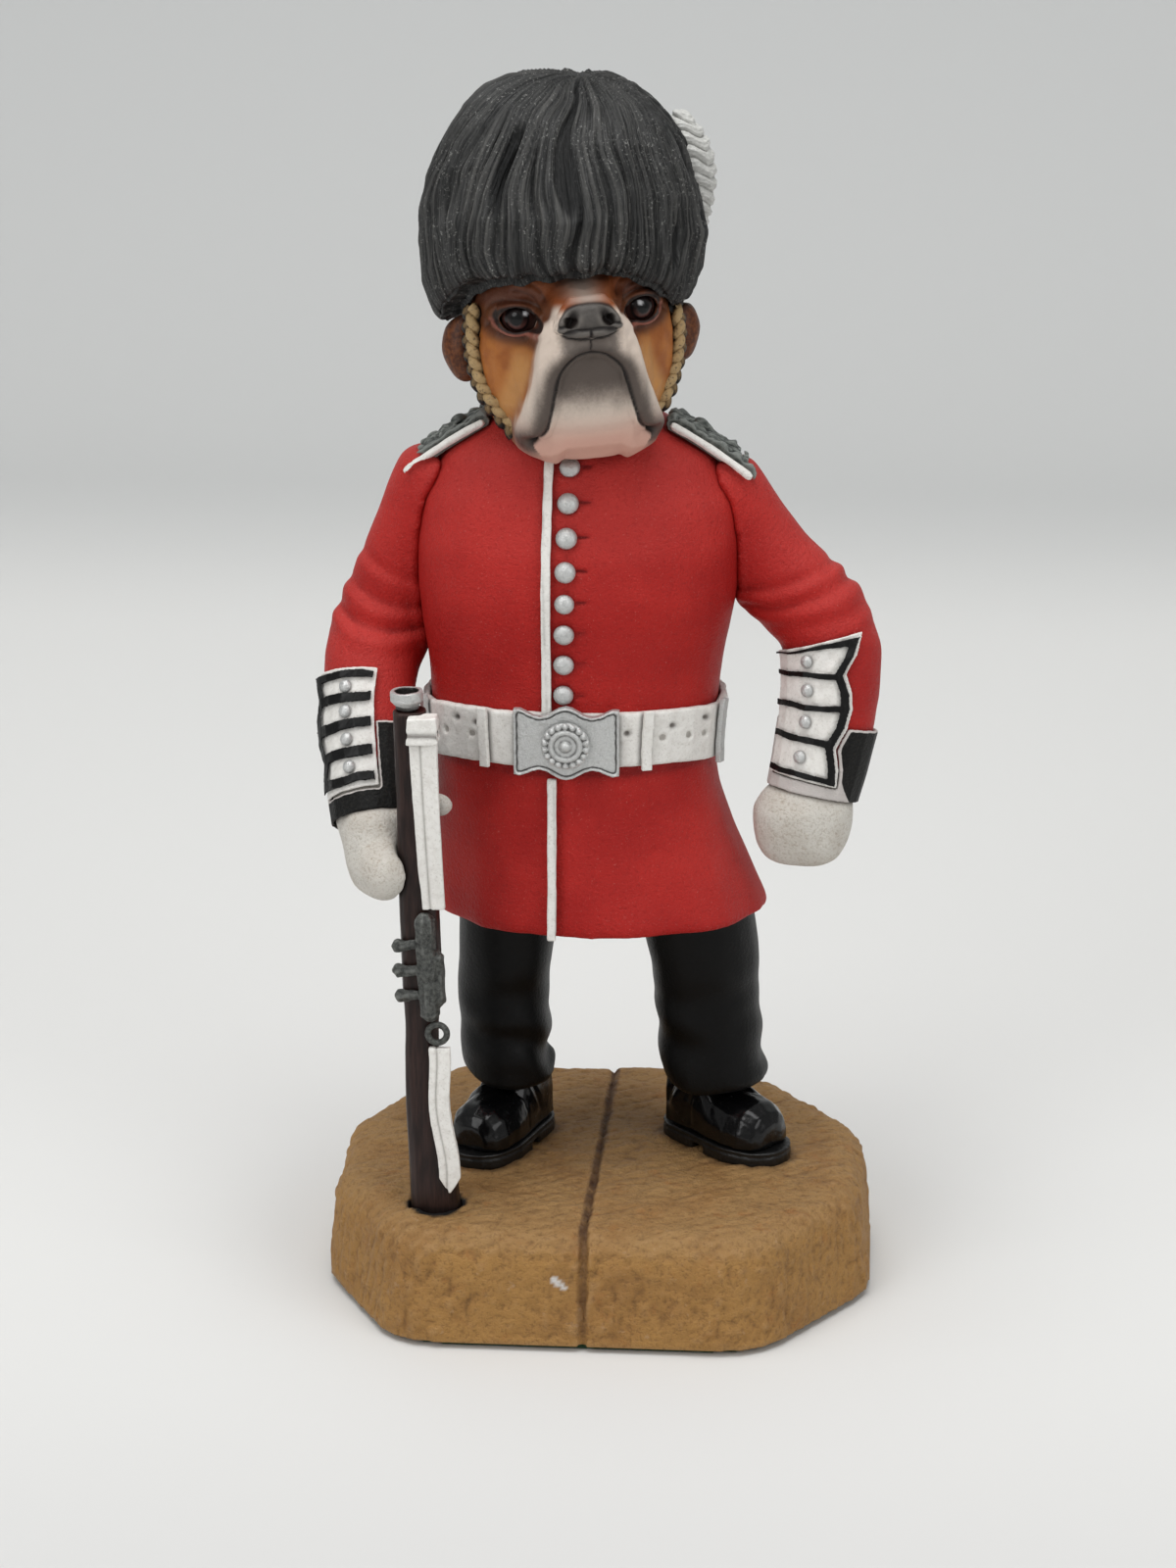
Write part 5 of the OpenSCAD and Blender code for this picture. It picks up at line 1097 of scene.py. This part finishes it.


# ---------------------------------------------------------------- bearskin
# The tall fur cap: long locks that wander and part as they fall from the crown, with deep hollows
# between them, straighter towards the fringe, whose front is drawn up a little off the eyes. It
# is painted charcoal with grey flecks, painted highlights along the strands, painted shade in
# the hollows and under the fringe, and it is darker towards the bottom.
crown_x, crown_y, cap_heart, cap_round = -3.0, 1.5, 127.0, 18.0
brim_lift, brim_top = 0.9, 127.0
cap = Casting("bearskin_cap", "bearskin", grain=0.252, soften=24)
x, y, z = cap.co.T
out = cap.co - (crown_x, crown_y, cap_heart)
outward = (cap.normals() * out).sum(1) / np.linalg.norm(out, axis=1)
outer = rise(outward, 0.05, 0.4)
bearing = np.arctan2(x - crown_x, -(y - crown_y))
cap.co[:, 2] += brim_lift * hump(bearing - head_turn, 0.5) * (1 - rise(z, brim_top, brim_top + 7))
down = np.arctan2(np.hypot(x - crown_x, y - crown_y), z - cap_heart) * cap_round
low = rise(down, 24, 33)
wave = (1 - 0.7 * low) * rise(down, 1, 8)
bearing = bearing + wave * cap.rough((0.09, 9), (0.045, 4.5))


def combed(round_at, length):
    """Places along the fur: two round the cap and one down it, drawn out by that length."""
    return np.stack([np.cos(bearing) * round_at, np.sin(bearing) * round_at, down / length], 1)


def locks(count, sway, size, seed):
    """So many locks round the cap, that part and meet: 0 in the hollows, 1 along their backs."""
    short, long = combed(cap_round, 4), combed(cap_round, 7)
    drift = sway * (lumps(short, size, seed) + 0.5 * lumps(long, size / 2, seed + 1))
    near_crown = np.abs(np.sin(bearing * count / 4 + drift))
    lower_down = np.abs(np.sin(bearing * count / 2 + drift))
    share = rise(down, 9, 14)
    return near_crown * (1 - share) + lower_down * share


broad, narrow = locks(30, 2.1, 5.5, 11), locks(76, 2.2, 3.4, 21)
fine = locks(160, 2.2, 2.2, 31)
gaps = rise(lumps(combed(cap_round, 3.0), 2.6, 41), 0.3, 0.7) * (1 - 0.85 * low)
off_crown = outer * rise(down, 0.5, 4)
fringe = cap.spread(rise(-cap.normals()[:, 2], 0.4, 0.8), 30) * outer
cap.push(off_crown * (
    (0.75 - 0.55 * low) * (broad - 0.6) + (0.42 - 0.12 * low) * (narrow - 0.6)
    + 0.22 * (fine - 0.6) + 0.25 * lumps(cap.co, 7, 6) - 0.95 * gaps
) - 1.3 * fringe)
hollow = np.clip(gaps + (0.6 - 0.4 * low) * (1 - broad) ** 2 + 0.7 * (1 - narrow) ** 2 - 0.1, 0, 1)
# The hollow mark is painted shade between the locks.
cap.mark("hollow", hollow * rise(down, 0.5, 4))
cap.mark("strand", fine * 0.55 + narrow * 0.45)
# Darker towards the bottom, and painted shade under the fringe.
cap.mark("low", np.clip(0.75 * low + 1.2 * fringe, 0, 1))
cap.mesh.attributes.new("comb", "FLOAT_VECTOR", "POINT").data.foreach_set(
    "vector", combed(cap_round, 22).astype(np.float32).ravel())
fur = Finish("fur_charcoal", (24, 25, 25), shine=0.35)
along_fur = fur.add("ShaderNodeAttribute", {"attribute_name": "comb"}, {}, "Vector")
hair = fur.mottle(0.26, 3, 0.7, on=along_fur)
brushed = fur.mottle(0.6, 3, 0.6, on=along_fur)
frost = fur.mottle(0.32, 2, 0.7)
patch = fur.mottle(5, 2)
fur.lay((68, 68, 67), hair.step(0.36, 0.66))
# Painted highlights along the strands.
lit = fur.marked("strand").step(0.5, 0.95) * brushed.step(0.42, 0.6)
fur.lay((94, 93, 90), lit * 0.55)
# Painted shade in the hollows between the locks.
fur.lay((10, 11, 11), fur.ragged("hollow", hair, 0.5).step(0.2, 0.75), 0.94)
# Darker towards the bottom, and painted shade under the fringe.
fur.lay((16, 17, 17), "low", 0.5)
frosted = frost.step(0.58, 0.7) * patch.step(0.34, 0.6)
fur.lay((150, 150, 146), frosted * (1 - fur.marked("hollow")) * 0.7)
cap.paint(fur.coat(hair * 0.2 + 0.45, hair + brushed * 0.5, 0.3), 8, 0.3)


# ---------------------------------------------------------------- plume
# A white feather plume on the left of the cap, cast in curled tiers that overlap downwards,
# set in a hollow of the fur and painted off-white, with painted shade in grey between the tiers.
plume_finish = Finish("plume_white", (202, 202, 198), shine=0.3)
barb = plume_finish.mottle(0.5, 3, 0.6, (1, 1, 0.4))
plume_finish.lay((172, 172, 167), barb.step(0.4, 0.7), 0.6)
# Painted shade between the tiers.
plume_finish.lay((116, 115, 110), plume_finish.hollows(0.5, 0.9), 0.75)
plume = Casting("feather_plume", "plume", grain=0.14, soften=24)
x, y, z = plume.co.T
fall = z + 0.5 * np.sin(1.1 * x + 0.8 * y + 0.3 * z) + 0.45 * lumps(plume.co, 3, 1)
tiers = np.abs(np.sin(fall * 1.9)) ** 0.8
barbs = np.abs(np.sin(fall * 5.5 + 2 * lumps(plume.co, 1.6, 3)))
plume.push(0.42 * (tiers - 0.6) + 0.12 * (barbs - 0.6) + 0.16 * lumps(plume.co, 2.2, 2))
plume.paint(plume_finish.coat(0.5, barb, 0.14), 9, 0.2)


# ---------------------------------------------------------------- rifle
# A cast rifle stood by the right foot: dark red-brown stock, silver muzzle with painted shade down
# its bore, gun-grey action, and a white sling down its side with a keeper above and a grey swivel
# below.
wood = Finish("stock_brown", (30, 19, 17), shine=0.25)
streak = wood.mottle(0.5, 3, 0.6, (1, 1, 9))
wood.lay((54, 37, 33), streak.step(0.3, 0.75))
# Painted highlight on the ridges of the stock.
wood.lay((84, 64, 58), wood.ridges(0.6, 0.95), 0.35)
wood.lay((12, 9, 8), "shade", 0.8)
stock = Casting("rifle_wood", "rifle_stock", grain=0.2, soften=20)
stock.push(stock.rough((0.07, 3)) + 0.03 * lumps(stock.co * (1, 1, 0.2), 0.8, 2))
stock.shade(0.4, "right_glove", "upper_sling", "lower_sling", "base")
stock.paint(wood.coat(streak * 0.2 + 0.3, streak, 0.06))

gun = Finish("gun_grey", (38, 40, 38), shine=0.5, Metallic=0.2)
pitting = gun.mottle(0.4, 3, 0.7)
gun.lay((88, 90, 86), pitting.step(0.3, 0.7))
# Painted highlight on the ridges and painted shade in the hollows.
gun.lay((128, 130, 126), gun.ridges(0.58, 0.95), 0.6)
gun.lay((14, 14, 14), gun.hollows(0.5, 0.85), 0.9)
gun_grey = gun.coat(pitting * 0.2 + 0.32, pitting, 0.2)
action = Casting("rifle_lock", "rifle_action", grain=0.14, soften=6)
action.push(0.26 * np.abs(lumps(action.co, 1.5, 1)) + 0.08 * lumps(action.co, 0.6, 2) - 0.05)
action.paint(gun_grey, 8, 0.14)

muzzle = Casting("rifle_muzzle", "rifle_barrel", grain=0.11, soften=5)
x, y, z = muzzle.co.T
ring = muzzle.co[z > z.max() - 1.5]
bore_x, bore_y = (ring.max(0) + ring.min(0))[:2] / 2
bore_wide = np.ptp(ring[:, 0]) / 2
# Painted shade down the bore.
down_bore = rise(bore_wide - 0.42 - np.hypot(x - bore_x, y - bore_y), 0, 0.15)
muzzle.shade(0.25, "rifle_stock", also=1.15 * down_bore)
muzzle.push(muzzle.rough((0.05, 0.9)))
muzzle.paint(silver_paint)
for name, node in (
    ("sling_block", "sling_keeper"), ("sling_upper", "upper_sling"), ("sling_lower", "lower_sling")
):
    strip = Casting(name, node, grain=0.13, soften=6)
    x, y, z = strip.co.T
    brushed = lumps(strip.co * (1, 1, 0.25), 0.8, 1)
    middle = np.poly1d(np.polyfit(z, x, 2))(z)
    furrow = hump(x - middle + 0.35, 0.16) * (node != "sling_keeper")
    waist = hump(z - z.min() - 1.1, 0.35) * (node == "sling_keeper")
    strip.co[:, 0] += (node == "lower_sling") * 0.3 * np.sin((z - z.min()) * 0.42)
    strip.push(0.08 * brushed - 0.14 * furrow - 0.22 * waist)
    strip.shade(0.25, "rifle_stock", also=most(0.35 * furrow, 0.7 * waist))
    strip.paint(white_paint)
swivel = Casting("swivel_loop", "sling_swivel", grain=0.1, soften=2)
swivel.paint(gun_grey)
